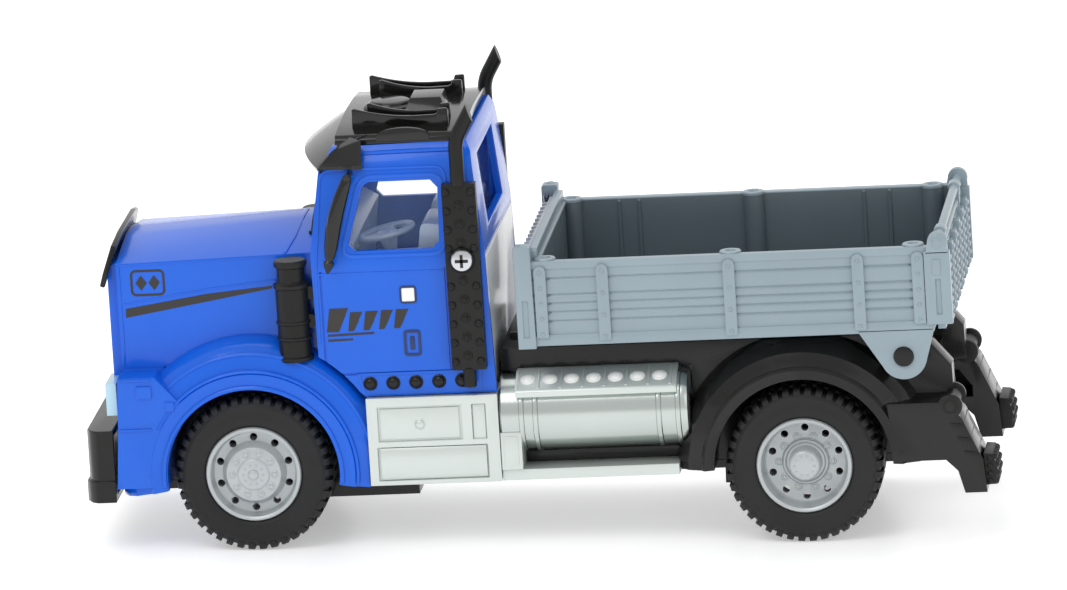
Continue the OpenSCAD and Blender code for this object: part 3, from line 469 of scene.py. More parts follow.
def bed():
    s = bed_side()
    # posts at the corners, each with a slot in its face
    posts = Shape().along_y([(-0.2, -4.8), (3.9, -4.8), (3.6, 18.6), (3.2, 18.9), (0.2, 18.9),
                             (-0.2, 18.5)], -35.8, -31.8)
    posts.box((92.9, 98.8), (-35.8, -33.6), (-2.7, 14.2))
    slots = Shape().box((1.2, 2.5), (-37, -35.4), (-2.2, 6.4))
    slots.box((95.3, 96.5), (-37, -35.35), (-0.4, 7.8))
    posts.cut(slots)
    posts.box((94.7, 96.6), (-36.0, -35.4), (8.8, 12.4))
    posts.mirrored()
    posts.done("bed_posts", BED_GREY, body="bed", bevel=0.35, segments=3)
    # ears for the tailgate's pins
    ears = Shape().along_y([(93.4, 13.8), (98.4, 13.8), (98.3, 16.6)] + arc(*GATE_PIN, 2.2, 5, 175,
            13) + [(93.6, 15.0)], -35.8, -33.9)
    ears.mirrored()
    ears.done("bed_ears", BED_GREY, body="bed", bevel=0.5, segments=3)
    # lug with the pivot's boss
    lug = Shape().along_y([(76.8, -3.6)] + arc(*PIVOT, 5.3, 205, 340, 22) + [(94.4, -3.6)], -35.0,
                          -32.8)
    lug.lathe((PIVOT[0], -35.0, PIVOT[1]), (0, -1, 0), [(4.4, -0.4), (4.4, 0.2), (4.15, 0.35),
            (2.6, 0.35), (2.35, 0.2), (2.3, -0.4)], n=48, loop=True)
    hole = Shape().rod((PIVOT[0], -40, PIVOT[1]), (PIVOT[0], -30, PIVOT[1]), 2.28, n=48)
    lug.cut(hole)
    lug.mirrored()
    lug.done("bed_lugs", BED_GREY, body="bed", bevel=0.2)
    s.mirrored()
    s.done("load_bed_sides", BED_GREY, ("load_bed",), body="bed", bevel=0.18)

    inner = Shape()
    # lining of the side walls, with columns and thin upright ribs
    inner.box((4.9, 94.2), (-32.72, -32.3), (BED_FLOOR, 14.9))
    for x in (17.7, 22.3, 74.5, 80.4):
        inner.along_x([(-32.4, BED_FLOOR), (-31.9, BED_FLOOR), (-31.9, 14.4), (-32.4, 14.8)],
                      x - 0.35, x + 0.35)
    for x in COLUMNS:
        inner.lathe((x, -32.2, BED_FLOOR), (0, 0, 1), [(2.4, 0), (2.4, 17.5), (0.2, 17.5)], n=40)
    inner.mirrored()
    caps = Shape()
    for x in COLUMNS:
        caps.lathe((x, -32.2, 14.9), (0, 0, 1), [(2.5, 0), (2.5, 0.5), (2.3, 0.75), (1.4, 0.75),
                (1.25, 0.6), (1.1, 0.3), (0.2, 0.3)], n=40)
    caps.dome((1.8, -34.3, 18.4), (0, 0, 1), 1.5, 0.9, n=24, sink=0.5)
    caps.lathe((96.2, -34.9, 16.4), (0, -1, 0), [(2.2, -1.1), (2.3, 0.2), (2.1, 0.7), (1.5, 1.1),
            (0.8, 1.3), (0.1, 1.35)], n=32)
    caps.mirrored()
    caps.done("bed_caps", BED_GREY, body="bed", bevel=0.0)
    # floor boards and the headboard's boards
    for k in range(BOARDS):
        y = -FLOOR_WIDTH / 2 + k * FLOOR_WIDTH / BOARDS
        inner.box((4.6, 94.3), (y + 0.12, y + FLOOR_WIDTH / BOARDS - 0.12),
                  (BED_FLOOR - 0.4, BED_FLOOR + 0.12))
    for k in range(BOARDS):
        y = -HEAD_WIDTH / 2 + k * HEAD_WIDTH / BOARDS
        inner.box((4.9, 5.35), (y + 0.2, y + HEAD_WIDTH / BOARDS - 0.2), (BED_FLOOR, 14.6))
    # the lining takes the darker inside grey, painted shade in the bed's hollow
    inner.done("bed_lining", BED_INSIDE_SHADE, body="bed", bevel=0.12)

    shell = Shape().box((BED_X[0], BED_X[1]), (-32.7, 32.7), (BED_LOW, BED_FLOOR - 0.2))
    shell.box((3.4, 4.95), (-32.6, 32.6), (BED_LOW, 15.2))
    # crown of the headboard
    shell.along_x([(-32.0, 14.8), (-32.0, 17.0), (-31.4, 17.8), (31.4, 17.8), (32.0, 17.0),
                   (32.0, 14.8)], 3.0, 4.9)
    shell.box((2.7, 5.6), (-31.9, 31.9), (14.6, 15.4))
    for x in (14, 30, 46, 62, 76):
        shell.box((x - 0.8, x + 0.8), (-22, 22), (BED_LOW - 0.35, BED_LOW + 0.2))
    for y in (-20.5, 20.5):
        shell.box((6, 78), (y - 0.8, y + 0.8), (BED_LOW - 0.35, BED_LOW + 0.2))
    shell.done("bed_floor", BED_GREY, body="bed", bevel=0.25)

    # ladder strip with pointed teeth in front of the headboard, and two knobs
    teeth = Shape().box((2.4, 3.5), (-29, 29), (9.6, 10.8))
    teeth.box((2.0, 3.5), (-29, 29), (15.6, 16.8))
    for k in range(14):
        y = -27.3 + k * 4.2
        teeth.skin([[(3.4, y - 1.6, 10.4), (3.4, y + 1.6, 10.4), (3.4, y + 1.6, 16.2),
                     (3.4, y - 1.6, 16.2)], [(0.2, y - 0.3, 15.0), (0.2, y + 0.3, 15.0),
                (0.2, y + 0.3, 15.6), (0.2, y - 0.3, 15.6)]])
    teeth.done("headboard_teeth", PALE_GREY, body="bed", bevel=0.12)
    knobs = Shape()
    for y in (-30.2, 30.2):
        knobs.lathe((2.4, y, 16.2), (-1, 0, 0), [(0.7, 0), (0.7, 0.6), (1.15, 0.8), (1.25, 1.2),
                (1.1, 1.7), (0.6, 2.0), (0.1, 2.1)], n=28)
    knobs.done("headboard_knobs", NAVY_PLASTIC, body="bed", bevel=0.0)


bed()


def tailgate():
    s = Shape().box((95.2, 97.0), (-33.4, 33.4), (-4.2, 13.2))
    s.along_y(arc(96.1, 13.3, 0.9, 0, 180, 9) + [(95.2, 12.6), (97.0, 12.6)], -33.3, 33.3)
    for y in (-29.5, -17.7, -5.9, 5.9, 17.7, 29.5):
        s.box((96.9, 98.3), (y - 1.7, y + 1.7), (-3.6, 12.6))
        for k in range(8):
            z = -3.0 + k * 1.95
            s.skin([[(98.2, y - 1.6, z), (98.2, y + 1.6, z), (98.2, y + 1.6, z + 1.5),
                     (98.2, y - 1.6, z + 1.5)], [(98.75, y - 1.3, z + 0.5),
                    (98.75, y + 1.3, z + 0.5), (98.75, y + 1.3, z + 1.1),
                    (98.75, y - 1.3, z + 1.1)]])
    for y in (-23.6, -11.8, 0, 11.8, 23.6):
        s.box((96.9, 97.6), (y - 3.2, y + 3.2), (-2.6, 11.6))
    for y in (-24, 24):
        s.along_y([(94.9, 12.6), (97.2, 12.6), (97.3, 16.6)] + arc(*GATE_PIN, 1.5, 10, 170, 9)
                  + [(94.9, 16.4)], y - 2, y + 2)
    s.rod((GATE_PIN[0], -36.4, GATE_PIN[1]), (GATE_PIN[0], 36.4, GATE_PIN[1]), 0.98, n=32, edge=0.2)
    s.done("tailgate_moulded", BED_GREY, ("tailgate",), body="tailgate", bevel=0.22)


tailgate()

# ---- roof ----


def roof():
    s = Shape()
    tray = [(-25.7, 42.1), (-25.5, 43.2), (-24.6, 44.2), (-14, 45.0), (0, 45.4), (14, 45.0),
            (24.6, 44.2), (25.5, 43.2), (25.7, 42.1), (14, 42.9), (0, 43.2), (-14, 42.9)]
    s.along_x(tray, -40.4, -11)
    s.lathe((-30.2, 0, 44.9), (0, 0, 1), [(6.2, 0), (6.2, 0.9), (5.9, 1.3), (4.9, 1.4), (4.7, 1.9),
            (4.2, 2.2), (0.2, 2.3)], n=64)
    s.skin([[(-26.6, -7, 45), (-26.6, 7, 45), (-16.6, 7, 45), (-16.6, -7, 45)],
            [(-25, -4.6, 48.2), (-25, 4.6, 48.2), (-18, 4.6, 48.2), (-18, -4.6, 48.2)]])
    for side in (-1, 1):
        for y in (12.6, 18.4):
            front = -37.2 + (19 - y) * 0.5
            top = [(front + 0.6 + (-18.2 - front - 0.6) * t / 12, 47.0 + 2.1 * (1 - t / 9) ** 2
                    if t < 9 else 47.0 + 0.03 * (t - 9)) for t in range(13)]
            outline = [(-14.9, 44.0), (front, 44.0), (front, 48.9)] + top + [(-17.4, 47.4),
                    (-17.1, 48.4), (-15.2, 48.5), (-14.9, 48.2)]
            s.along_y(outline[::-1], side * y, side * (y + 1.0))
        s.box((-16.9, -15.1), sorted((side * 12.9, side * 19.0)), (44.4, 47.3))
        # low round boss on the edge of the tray
        s.along_y([(-31.0, 42.6)] + [(-24.8 - 6.2 * math.cos(t * math.pi / 14),
                42.7 + 2.9 * math.sin(t * math.pi / 14) ** 0.6) for t in range(1, 14)]
                  + [(-18.6, 42.6)], side * 23.6, side * 25.75)
    s.done("roof_tray", ROOF_BLACK, ("roof_fairing",), bevel=0.28, segments=2)

    # visor: a bowed shell with flaps at its sides
    v = Shape()

    def section(t, drop, y):
        """Visor surface from its rear top edge (t 0) to its front lower edge (t 1)."""
        u = y / 30
        x0, z0 = -34.0 + 1.0 * u * u, 45.1 - 0.9 * u * u
        x1, z1 = -50 + 6 * u * u, 38.2 - 0.6 * u * u
        bulge = math.sin(math.pi * t) * 1.1
        return (x0 + (x1 - x0) * t - 0.25 * bulge, z0 + (z1 - z0) * t + bulge - drop)

    rings = []
    ys = [-30 + 60 * k / 24 for k in range(25)]
    for y in ys:
        u = abs(y) / 30
        squeeze = [1 - 0.17 * (1 - t / 6) * max(0, (u - 0.5) * 2) for t in range(7)]
        outer = [(section(t / 6, 0, y)[0], y * squeeze[t], section(t / 6, 0, y)[1])
                 for t in range(7)]
        inner = [(section(t / 6, 1.3, y * 0.97)[0] + (0.6 if t == 6 else 0), y * squeeze[t] * 0.965,
                  section(t / 6, 1.3, y)[1]) for t in range(6, -1, -1)]
        rings.append(outer + inner)
    v.skin(rings)
    # side flaps
    for side in (-1, 1):
        v.skin([[(-44.4, side * 30.0, 37.5), (-34.0, side * 30.0, 37.0), (-34.0, side * 29.0, 43.6),
                 (-36.6, side * 27.4, 44.4), (-40.6, side * 29.3, 41.6)],
                [(-44.0, side * 28.9, 37.6), (-34.2, side * 28.9, 37.1), (-34.2, side * 27.9, 43.3),
                 (-36.6, side * 26.3, 43.9), (-40.4, side * 28.2, 41.2)]])
        v.box((-42.6, -35.0), sorted((side * 29.9, side * 30.15)), (37.9, 38.3))
    v.done("roof_visor", ROOF_BLACK, bevel=0.22, smooth=40)


roof()

# ---- exhaust stacks, air cleaners, mirrors ----

STACK = (-12.0, -33.3)               # (x, y) of the left pipe
SHIELD_Y, PIMPLE_PITCH, BEND = -34.15, 4.38, math.radians(30)


def stack(hand):
    s = Shape()
    x, y = STACK
    s.along_y([(-15.8, -9.4), (-8, -9.4), (-8, 33.8), (-15.8, 33.8)], -34.2, -31.35)
    # spigot at the foot
    s.rod((x, -33.15, -13.5), (x, -33.15, -9.0), 1.5, n=24, edge=0.25)
    for k in range(9):
        if k != 3:
            s.lathe((x, SHIELD_Y, 29 - PIMPLE_PITCH * k), (0, -1, 0),
                    [(1.15, -0.3), (1.12, 0.1), (0.9, 0.3), (0.55, 0.32), (0.5, 0.55), (0.35, 0.72),
                     (0.1, 0.76)], n=24)
    for k in range(10):
        for dx in (-2.9, 2.9):
            if k != 4:
                s.lathe((x + dx, SHIELD_Y, 32 - PIMPLE_PITCH * k), (0, -1, 0),
                        [(0.95, -0.3), (0.92, 0.2), (0.72, 0.5), (0.4, 0.68), (0.1, 0.74)], n=20)
    path = [(x, y, z) for z in (33.4, 36, 38.5, 41.2)]
    for k in range(1, 15):
        a = BEND * k / 14
        path.append((x + 9 - 9 * math.cos(a), y, 41.6 + 9 * math.sin(a)))
    end = Vector(path[-1])
    lean = Vector((math.sin(BEND), 0, math.cos(BEND)))
    for d in (1.5, 3.0, 4.4, 8.6):
        path.append(tuple(end + lean * d))
    pipe = Shape().tube(path, [1.66] * len(path), n=28)
    cutter = Shape().along_y([(-9.3, 52.6), (-7.8, 48.2), (-6.9, 45.4), (2, 45.4), (2, 62),
                              (-9.3, 62)], y - 4, y + 4)
    cutter.tube([tuple(end + lean * d) for d in (2.6, 5, 8, 11)], [1.1] * 4, n=20)
    pipe.cut(cutter)
    s.on(hand).done(f"heat_shield_{hand}", SATIN_BLACK, (f"exhaust_{hand}",), bevel=0.3)
    pipe.on(hand).done(f"stack_pipe_{hand}", SATIN_BLACK, bevel=0.0, smooth=40)


def air_cleaner(hand):
    s = Shape()
    s.lathe((-52, -28.8, 0), (0, 0, 1), [(3.9, -6.6), (4.15, -6.2), (4.15, -5.7), (3.75, -5.4),
            (3.7, -1.8), (4.0, -1.5), (4.0, -1.0), (3.72, -0.8), (3.72, 1.9), (4.0, 2.15),
            (4.0, 2.65), (3.74, 2.9), (3.78, 10.2), (4.15, 10.5), (4.2, 11.2), (3.6, 11.6),
            (3.2, 12.1), (3.2, 15.0), (3.7, 15.3), (3.85, 15.8), (3.8, 16.4), (3.4, 16.75),
            (0.2, 16.9)], n=48)
    for z in (0.8, 7.4):
        s.along_y([(-48.6, z), (-47.0, z + 0.3), (-47.0, z + 2.9), (-48.6, z + 3.2)], -29.4, -27.0)
    s.on(hand).done(f"air_cleaner_{hand}_moulded", SATIN_BLACK, (f"air_cleaner_{hand}",), bevel=0.0,
                    smooth=30)


for hand in ("left", "right"):
    stack(hand)
    air_cleaner(hand)

# ---- cab, hood and fender details ----

CAB_Y, HOOD_Y, FENDER_Y = 31.0, 24.5, 33.2
MARKER_PITCH, DOME_PITCH, MIRROR_Y = 5.25, 5.02, 33.4
SCREW = (-12, 16.2)                  # (x, z) of the heat shield's screw


def axle_in_body(x):
    """(x, z) of an axle in body-frame millimetres."""
    v = BODY.inverted() @ Vector((x / 1000, 0, TYRE_R / 1000)) * 1000
    return v.x, v.z


FRONT_C, REAR_C = axle_in_body(FRONT_X), axle_in_body(REAR_X)


def cab_face(x, z):
    """y of the cab's left side, which leans in above the belt."""
    return -CAB_Y + (2.4 * (z - 15) / 21.5 if z > 15 else 0)


def hood_face(x, z):
    return -HOOD_Y


def fender_face(x, z):
    return -FENDER_Y


def hood_top(x, y):
    """Height of the hood's top surface."""
    t = (x + 92.6) / 45.5
    side, crest = 16.3 + t, 18.8 + 2.8 * t
    return crest - (crest - side) * min(1.0, max(0.0, (abs(y) - 5) / 19.5))


def soften(points, r, closed=True, n=5):
    """Rounds the corners of a path of (x, z) points."""
    out = []
    for i, p in enumerate(points):
        if not closed and i in (0, len(points) - 1):
            out.append(p)
            continue
        here, a, b = Vector(p), Vector(points[i - 1]), Vector(points[(i + 1) % len(points)])
        p0 = here + (a - here).normalized() * min(r, (a - here).length * 0.45)
        p1 = here + (b - here).normalized() * min(r, (b - here).length * 0.45)
        for k in range(n):
            t = k / (n - 1)
            q = p0 * (1 - t) ** 2 + here * 2 * t * (1 - t) + p1 * t * t
            out.append((q.x, q.y))
    return out


def rounded_box(x0, x1, z0, z1, r, n=5):
    return (arc(x1 - r, z1 - r, r, 0, 90, n) + arc(x0 + r, z1 - r, r, 90, 180, n)
            + arc(x0 + r, z0 + r, r, 180, 270, n) + arc(x1 - r, z0 + r, r, 270, 360, n))


def cab_trim():
    s = Shape()
    # raised frame round the side window, the door's ridges and the belt crease
    s.ribbon(soften([(-40.0, 17.2), (-16.0, 17.2), (-15.9, 35.2), (-35.0, 35.2)], 3.2), 0.9,
             cab_face, 0.24, 0.5, closed=True)
    s.ribbon(soften([(-46.0, -2.6), (-46.0, 13.4), (-43.9, 37.0), (-15.4, 37.0), (-15.2, 14),
                     (-15.2, -2.7)], 2.6, closed=False), 0.55, cab_face, 0.26, 0.5)
    s.ribbon([(-46.2, 13.4), (-16.9, 13.4)], 0.45, cab_face, 0.14, 0.3)
    # border of the marker panel
    s.ribbon([(-36.4, -14.9), (-37.6, -10.2), (-9.0, -10.2), (-9.0, -15.0)], 0.55, cab_face, 0.22,
             0.3)
    s.mirrored()
    s.done("cab_trim", BLUE, bevel=0.1)

    # rain gutter over the doors and the corner posts of the rear window
    g = Shape()
    g.ribbon([(-41.0, 40.2), (-26, 40.5), (-11.0, 40.6)], 0.7, lambda x, z: -27.0, 0.35, 1.2)
    g.mirrored()
    for y in (-18.4, 18.4):
        g.box((-10.6, -9.2), (y - 0.8, y + 0.8), (20.0, 38.0))
    g.box((-10.9, -9.9), (-18.8, 18.8), (37.5, 38.8))
    g.box((-9.3, -7.4), (-18.8, 18.8), (18.9, 20.4))
    g.done("cab_gutter", BLUE, bevel=0.2)

    # small white window in the door, then its dark frame and the latch below it
    w = Shape().plate(rounded_box(-26.7, -23.7, 6.4, 9.6, 0.3), cab_face, 0.12)
    w.mirrored()
    w.done("lock_windows", WHITE, slot="cab_blue_plastic", bevel=0.04)
    f = Shape().ribbon(rounded_box(-26.9, -23.5, 6.2, 9.8, 0.5), 0.5, cab_face, 0.2, 0.3,
                       closed=True)
    f.ribbon(rounded_box(-26.5, -23.2, -6.0, -0.6, 0.5), 0.65, cab_face, 0.24, 0.3, closed=True)
    f.plate(rounded_box(-25.4, -24.3, -4.9, -1.7, 0.25), cab_face, 0.2)
    f.mirrored()
    f.done("lock_frames", NAVY, bevel=0.06)

    # printed shapes: slanted blocks over two rules, on each door
    t = Shape()
    for x0, x1, z0, z1 in ((-44.3, -40.0, -0.1, 5.4), (-39.4, -36.6, 0.0, 4.4),
                           (-35.9, -33.0, 0.1, 4.5), (-32.3, -29.6, 0.2, 4.6),
                           (-28.9, -26.0, 0.3, 4.7)):
        lean = (z1 - z0) * 0.16
        t.plate([(x0, z0), (x1 - 1.5, z0), (x1 - 0.4, z0 + (z1 - z0) * 0.45),
                 (x1 + lean - 0.9, z0 + (z1 - z0) * 0.6), (x1 + lean, z1), (x0 + lean, z1)],
                cab_face, 0.07)
    t.plate([(-44.1, -1.15), (-33.5, -0.85), (-33.5, -0.35), (-44.1, -0.65)], cab_face, 0.07)
    t.plate([(-44.1, -2.3), (-38.4, -2.15), (-38.4, -1.7), (-44.1, -1.8)], cab_face, 0.07)
    # tapering stripe and a framed mark on the hood
    t.plate([(-91.0, 3.7), (-57.0, 9.3), (-57.0, 9.9), (-72, 8.6), (-90.9, 5.8)], hood_face, 0.07)
    t.ribbon(rounded_box(-89.2, -81.8, 8.9, 14.5, 1.0), 0.55, hood_face, 0.07, 0.3, closed=True)
    for x in (-87.0, -84.0):
        t.plate([(x - 1.3, 11.7), (x, 9.9), (x + 1.3, 11.7), (x, 13.5)], hood_face, 0.07)
    t.mirrored()
    t.done("side_prints", PRINT, bevel=0.0)


def hood_trim():
    s = Shape()
    s.ribbon([(-91.2, 6.9), (-72, 9.7), (-56.0, 11.3)], 0.4, hood_face, 0.14, 0.3)
    s.ribbon([(-92.2, -7.6), (-92.2, 15.9)], 0.9, hood_face, 0.2, 0.4)
    s.ribbon([(-54.0, -3.6), (-54.0, 16.6)], 0.7, hood_face, 0.2, 0.4)
    s.ribbon([(-92.2, 15.9), (-54.2, 16.75)], 0.5, hood_face, 0.16, 0.5)
    # fender: rolled lip, fine ridge and the step of the front block
    s.sweep(FRONT_C, [(19.85, -32.0), (19.85, -33.4), (20.05, -33.75), (20.5, -33.85),
                      (20.9, -33.6), (21.0, -33.1), (21.0, -32.0)], -7, 186, 80)
    s.sweep(FRONT_C, [(23.6, -32.8), (23.75, -33.3), (24.1, -33.42), (24.4, -33.1), (24.5, -32.2)],
            -7, 152, 70)
    s.sweep(FRONT_C, [(27.3, -31.3), (27.5, -31.75), (27.9, -31.75), (28.3, -31.4), (28.2, -30.8)],
            -6, 140, 70)
    s.ribbon([(-93.1, -20.7), (-85.6, -20.7)], 0.5, fender_face, 0.26, 0.4)
    s.ribbon([(-92.6, -9.1), (-85.2, -9.1)], 0.5, fender_face, 0.2, 0.4)
    s.box((-82.2, -80.2), (-33.5, -31.8), (-16.6, -14.4))
    s.mirrored()
    # cowl
    rings = []
    for y in (-24.2, -15, -5, 5, 15, 24.2):
        x = -54.0 + 2.4 * (1 - (y / 24.2) ** 2)
        z = hood_top(x, y)
        rings.append([(x, y, z - 0.5), (x + 0.8, y, z - 0.5), (x + 0.7, y, z + 0.3),
                      (x + 0.1, y, z + 0.3)])
    s.skin(rings)
    s.done("hood_trim", BLUE, bevel=0.1)
    # wiper arms
    w = Shape()
    for y in (-14, 6):
        w.tube([(-48.2, y, 19.3), (-47.9, y + 1.5, 22.5), (-47.2, y + 6, 27.5)], [0.55, 0.4, 0.3],
               n=12)
        w.tube([(-47.7, y + 1.5, 23.2), (-46.9, y + 8.4, 30.2)], [0.32, 0.32], n=10)
        w.rod((-48.2, y, 18.9), (-48.2, y, 20.2), 0.9, n=20, edge=0.2)
    w.done("wipers", SATIN_BLACK, bevel=0.05)


def markers():
    s = Shape()
    for k in range(5):
        x = -35.1 + MARKER_PITCH * k
        s.lathe((x, -30.9, -12.4), (0, -1, 0), [(1.6, -0.8), (1.6, 0.2), (1.42, 0.34), (1.3, 0.32),
                (1.22, 0.5), (0.95, 0.8), (0.5, 0.98), (0.1, 1.02)], n=32)
    s.mirrored()
    s.done("side_markers_moulded", BLACK, ("side_markers",), bevel=0.0)


def mirror(hand):
    s = Shape().tube([(x, -MIRROR_Y, z) for x, z in ((-36.9, 36.9), (-37.1, 36.0), (-37.9, 34.0),
            (-39.0, 31.2), (-40.2, 27.6), (-41.2, 23.6), (-41.8, 20.2), (-42.2, 18.0),
            (-42.4, 17.1), (-42.5, 16.6), (-42.7, 15.6), (-43.0, 14.0))],
                     [0.5, 1.1, 1.35, 1.6, 1.75, 1.75, 1.55, 1.2, 0.8, 1.25, 1.0, 0.2], n=24)
    bmesh.ops.scale(s.bm, vec=(1, 0.72, 1), verts=s.bm.verts,
                    space=Matrix.Translation((0, MIRROR_Y, 0)))
    s.rod((-37.1, -34.3, 36.0), (-37.1, -28.4, 36.0), 0.8, n=20, edge=0.2)
    s.rod((-42.2, -34.0, 18.0), (-42.2, -30.2, 18.0), 0.6, n=20, edge=0.15)
    s.on(hand).done(f"mirror_{hand}_moulded", ROOF_BLACK, (f"mirror_{hand}",), bevel=0.0, smooth=40)


def side_box(hand):
    s = Shape().box((-36.2, -6.25), (-31.9, -20.1), (-35.85, -15.65))
    face = Shape().box((-36.3, -6.15), (-32.85, -31.5), (-35.95, -15.55))
    windows = Shape().box((-33.8, -14.6), (-34, -32.0), (-25.8, -17.7))
    windows.box((-34.2, -9.0), (-34, -32.0), (-34.9, -27.1))
    windows.box((-12.2, -9.0), (-34, -32.0), (-25.8, -17.7))
    face.cut(windows)
    face.on(hand).done(f"side_box_face_{hand}", SILVER, bevel=0.2, segments=3)
    s.box((-33.3, -15.2), (-32.35, -31.5), (-25.3, -18.2))
    s.along_x([(-31.6, -27.1), (-32.7, -27.3), (-33.05, -28.2), (-33.1, -30.5), (-32.9, -33.2),
               (-32.4, -34.7), (-31.6, -34.8)], -33.6, -9.3)
    s.box((-12.0, -9.2), (-32.4, -31.5), (-26.6, -17.8))
    s.lathe((-24.2, -32.3, -22.0), (0, -1, 0), [(1.5, -0.2), (1.45, 0.1), (1.1, 0.2), (0.95, 0.55),
            (0.6, 0.75), (0.1, 0.8)], n=32)
    s.on(hand).done(f"side_box_{hand}_moulded", SILVER, (f"side_box_{hand}",), bevel=0.18)


def fuel_tank(hand):
    profile = [(6.8, 0), (8.6, 0.1), (8.95, 0.5)]
    for x in (-0.9, 2.3, 30.5, 34.9):
        h = x + 6.0
        profile += [(8.95, h - 0.65), (9.3, h - 0.45), (9.35, h), (9.3, h + 0.45), (8.95, h + 0.65)]
    profile += [(8.95, 42.3), (8.7, 43.0), (8.1, 43.45), (6.6, 43.5)]
    s = Shape().lathe((-6, -24, -21.6), (1, 0, 0), profile, n=96)
    s.on(hand).done(f"fuel_tank_{hand}_moulded", BRUSHED, (f"fuel_tank_{hand}",), bevel=0.0,
                    smooth=30)
    t = Shape().box((-6.0, 34.4), (-32.0, -24.2), (-36.0, -33.5))
    t.box((-6.0, -1.2), (-32.6, -24.2), (-33.4, -24.7))
    t.box((-5.2, -2.0), (-32.8, -32.4), (-32.4, -25.6))
    # sloped step with ribs on it
    t.along_x([(-33.0, -16.6), (-33.1, -15.4), (-32.6, -14.8), (-25.6, -11.7), (-24.15, -11.6),
               (-24.15, -16.6)], -2.0, 34.8)
    slope = Vector((0, -0.41, 0.91)).normalized()
    for k in range(8):
        x = -1.8 + DOME_PITCH * k
        t.skin([[(a, y, z) for a in (x - 0.35, x + 0.35)] + [(a, y - 0.2, z + 0.45)
                for a in (x + 0.3, x - 0.3)] for y, z in ((-32.4, -14.95), (-26.0, -12.1))])
    t.on(hand).done(f"step_{hand}", SILVER, bevel=0.12)
    d = Shape()
    for k in range(7):
        x = 0.7 + DOME_PITCH * k
        d.lathe((x, -29.4, -13.45), slope, [(1.75, -0.5), (1.75, 0.2), (1.6, 0.4), (1.35, 0.45),
                (1.2, 0.62), (0.7, 0.85), (0.1, 0.95)], n=28)
    d.on(hand).done(f"step_domes_{hand}", WHITE, slot="silver_plastic", bevel=0.0)


def front():
    # lamp blocks with a bright rim and a ribbed lens
    block = Shape().box((-95.95, -93.45), (-31.35, -20.0), (-17.55, -10.05))
    block.cut(Shape().box((-97, -94.6), (-30.6, -20.8), (-16.8, -10.8)))
    block.mirrored()
    block.done("headlight_blocks", CYAN_CLEAR, ("headlights",), bevel=0.2, segments=3)
    lamp = Shape()
    for k in range(6):
        y = -30.5 + 1.61 * k
        lamp.along_y([(-95.5, -16.7), (-95.85, -16.2), (-95.85, -11.4), (-95.5, -10.9),
                      (-94.5, -10.9), (-94.5, -16.7)], y, y + 1.5)
    lamp.mirrored()
    lamp.done("headlight_lenses", LENS, bevel=0.15)
    # surround of the grille, in the cab's colour, with the bars set back in it
    surround = Shape().along_y([(-95.0, -17.4), (-95.0, 13.3), (-94.5, 15.6), (-92.5, 16.4),
            (-92.5, -17.4)], -22.6, 22.6)
    surround.cut(Shape().box((-97, -90), (-18.7, 18.7), (-16.2, 12.4)))
    surround.done("grille_surround", BLUE, bevel=0.45, segments=3)
    bars = Shape().box((-93.9, -93.2), (-18.85, 18.85), (-16.4, 12.6))
    for k in range(-6, 7):
        y = 2.85 * k
        bars.along_x([(y - 0.7, -16.3), (y + 0.7, -16.3), (y + 0.7, 12.5), (y - 0.7, 12.5)], -94.65,
                     -93.8)
    for z in (-16.1, -1.9, 12.0):
        bars.box((-94.85, -93.85), (-18.8, 18.8), (z - 0.5, z + 0.5))
    bars.done("grille_bars", SILVER, ("grille",), bevel=0.2)
    fog = Shape().lathe((-99.9, -27.6, -35), (-1, 0, 0), [(1.7, -0.4), (1.7, 1.5), (1.6, 1.8),
            (1.35, 1.95), (1.2, 1.75), (0.7, 2.0), (0.1, 2.08)], n=36)
    fog.mirrored()
    fog.done("fog_lamps_moulded", LENS, ("fog_lamps",), bevel=0.0)
    # slots and bolts of the bumper
    b = Shape()
    for y in (-12, -4, 4, 12):
        b.box((-101.35, -100.6), (y - 3.4, y + 3.4), (-28.6, -25.4))
    for y in (-20.5, 20.5):
        for z in (-23.4, -30):
            b.dome((-101.0, y, z), (-1, 0, 0), 0.9, 0.5, n=20)
    b.done("bumper_slots", SATIN_BLACK, bevel=0.2)


def tail():
    s = Shape()
    # flanged rollers on the arms
    s.lathe((97.0, -21.0, -22.0), (0, -1, 0), [(1.4, -0.3), (2.6, 0.0), (2.75, 0.3), (2.75, 1.5),
            (1.9, 1.8), (1.9, 12.0), (2.75, 12.3), (2.75, 13.4), (2.5, 13.75), (1.2, 13.85),
            (1.0, 13.6), (0.1, 13.6)], n=48)
    s.mirrored()
    s.done("tail_rollers", SATIN_BLACK, bevel=0.0)
    # clusters of knobs at the tips
    c = Shape().along_y([(103.9, -33.4), (106.0, -33.6), (107.0, -37.4), (106.4, -40.6),
                         (103.9, -40.8)], -33.8, -22.2)
    for y in (-32.4, -30.1, -27.9, -25.6, -23.5):
        for t in range(4):
            z = -34.4 - 1.9 * t
            x = 106.25 + 0.45 * math.sin(t * 0.9) - (0.1 if t == 3 else 0)
            c.dome((x, y, z), (1, 0, 0), 0.85, 0.75, n=16, sink=0.7)
    for t in range(4):
        c.dome((105.2, -33.8, -34.6 - 1.75 * t), (0, -1, 0), 0.7, 0.55, n=16)
    c.mirrored()
    c.done("tail_clusters", SATIN_BLACK, ("tail_lenses",), bevel=0.1)
    # ladder strips on the arms
    p = Shape()
    for z in (-25.6, -28.9, -32.2):
        x = 99.0 + 0.44 * (-24.8 - z)
        p.along_y([(x - 2.6, z - 0.2), (x + 0.35, z - 0.6), (x + 0.75, z - 1.5),
                   (x - 2.2, z - 1.1)], -35.05, -34.6)
        p.along_x([(-34.7, z - 0.2), (-21.2, z - 0.2), (-21.2, z - 1.3), (-34.7, z - 1.3)], x - 0.4,
                  x + 0.62)
    p.mirrored()
    p.done("tail_strips", SATIN_BLACK, bevel=0.05)


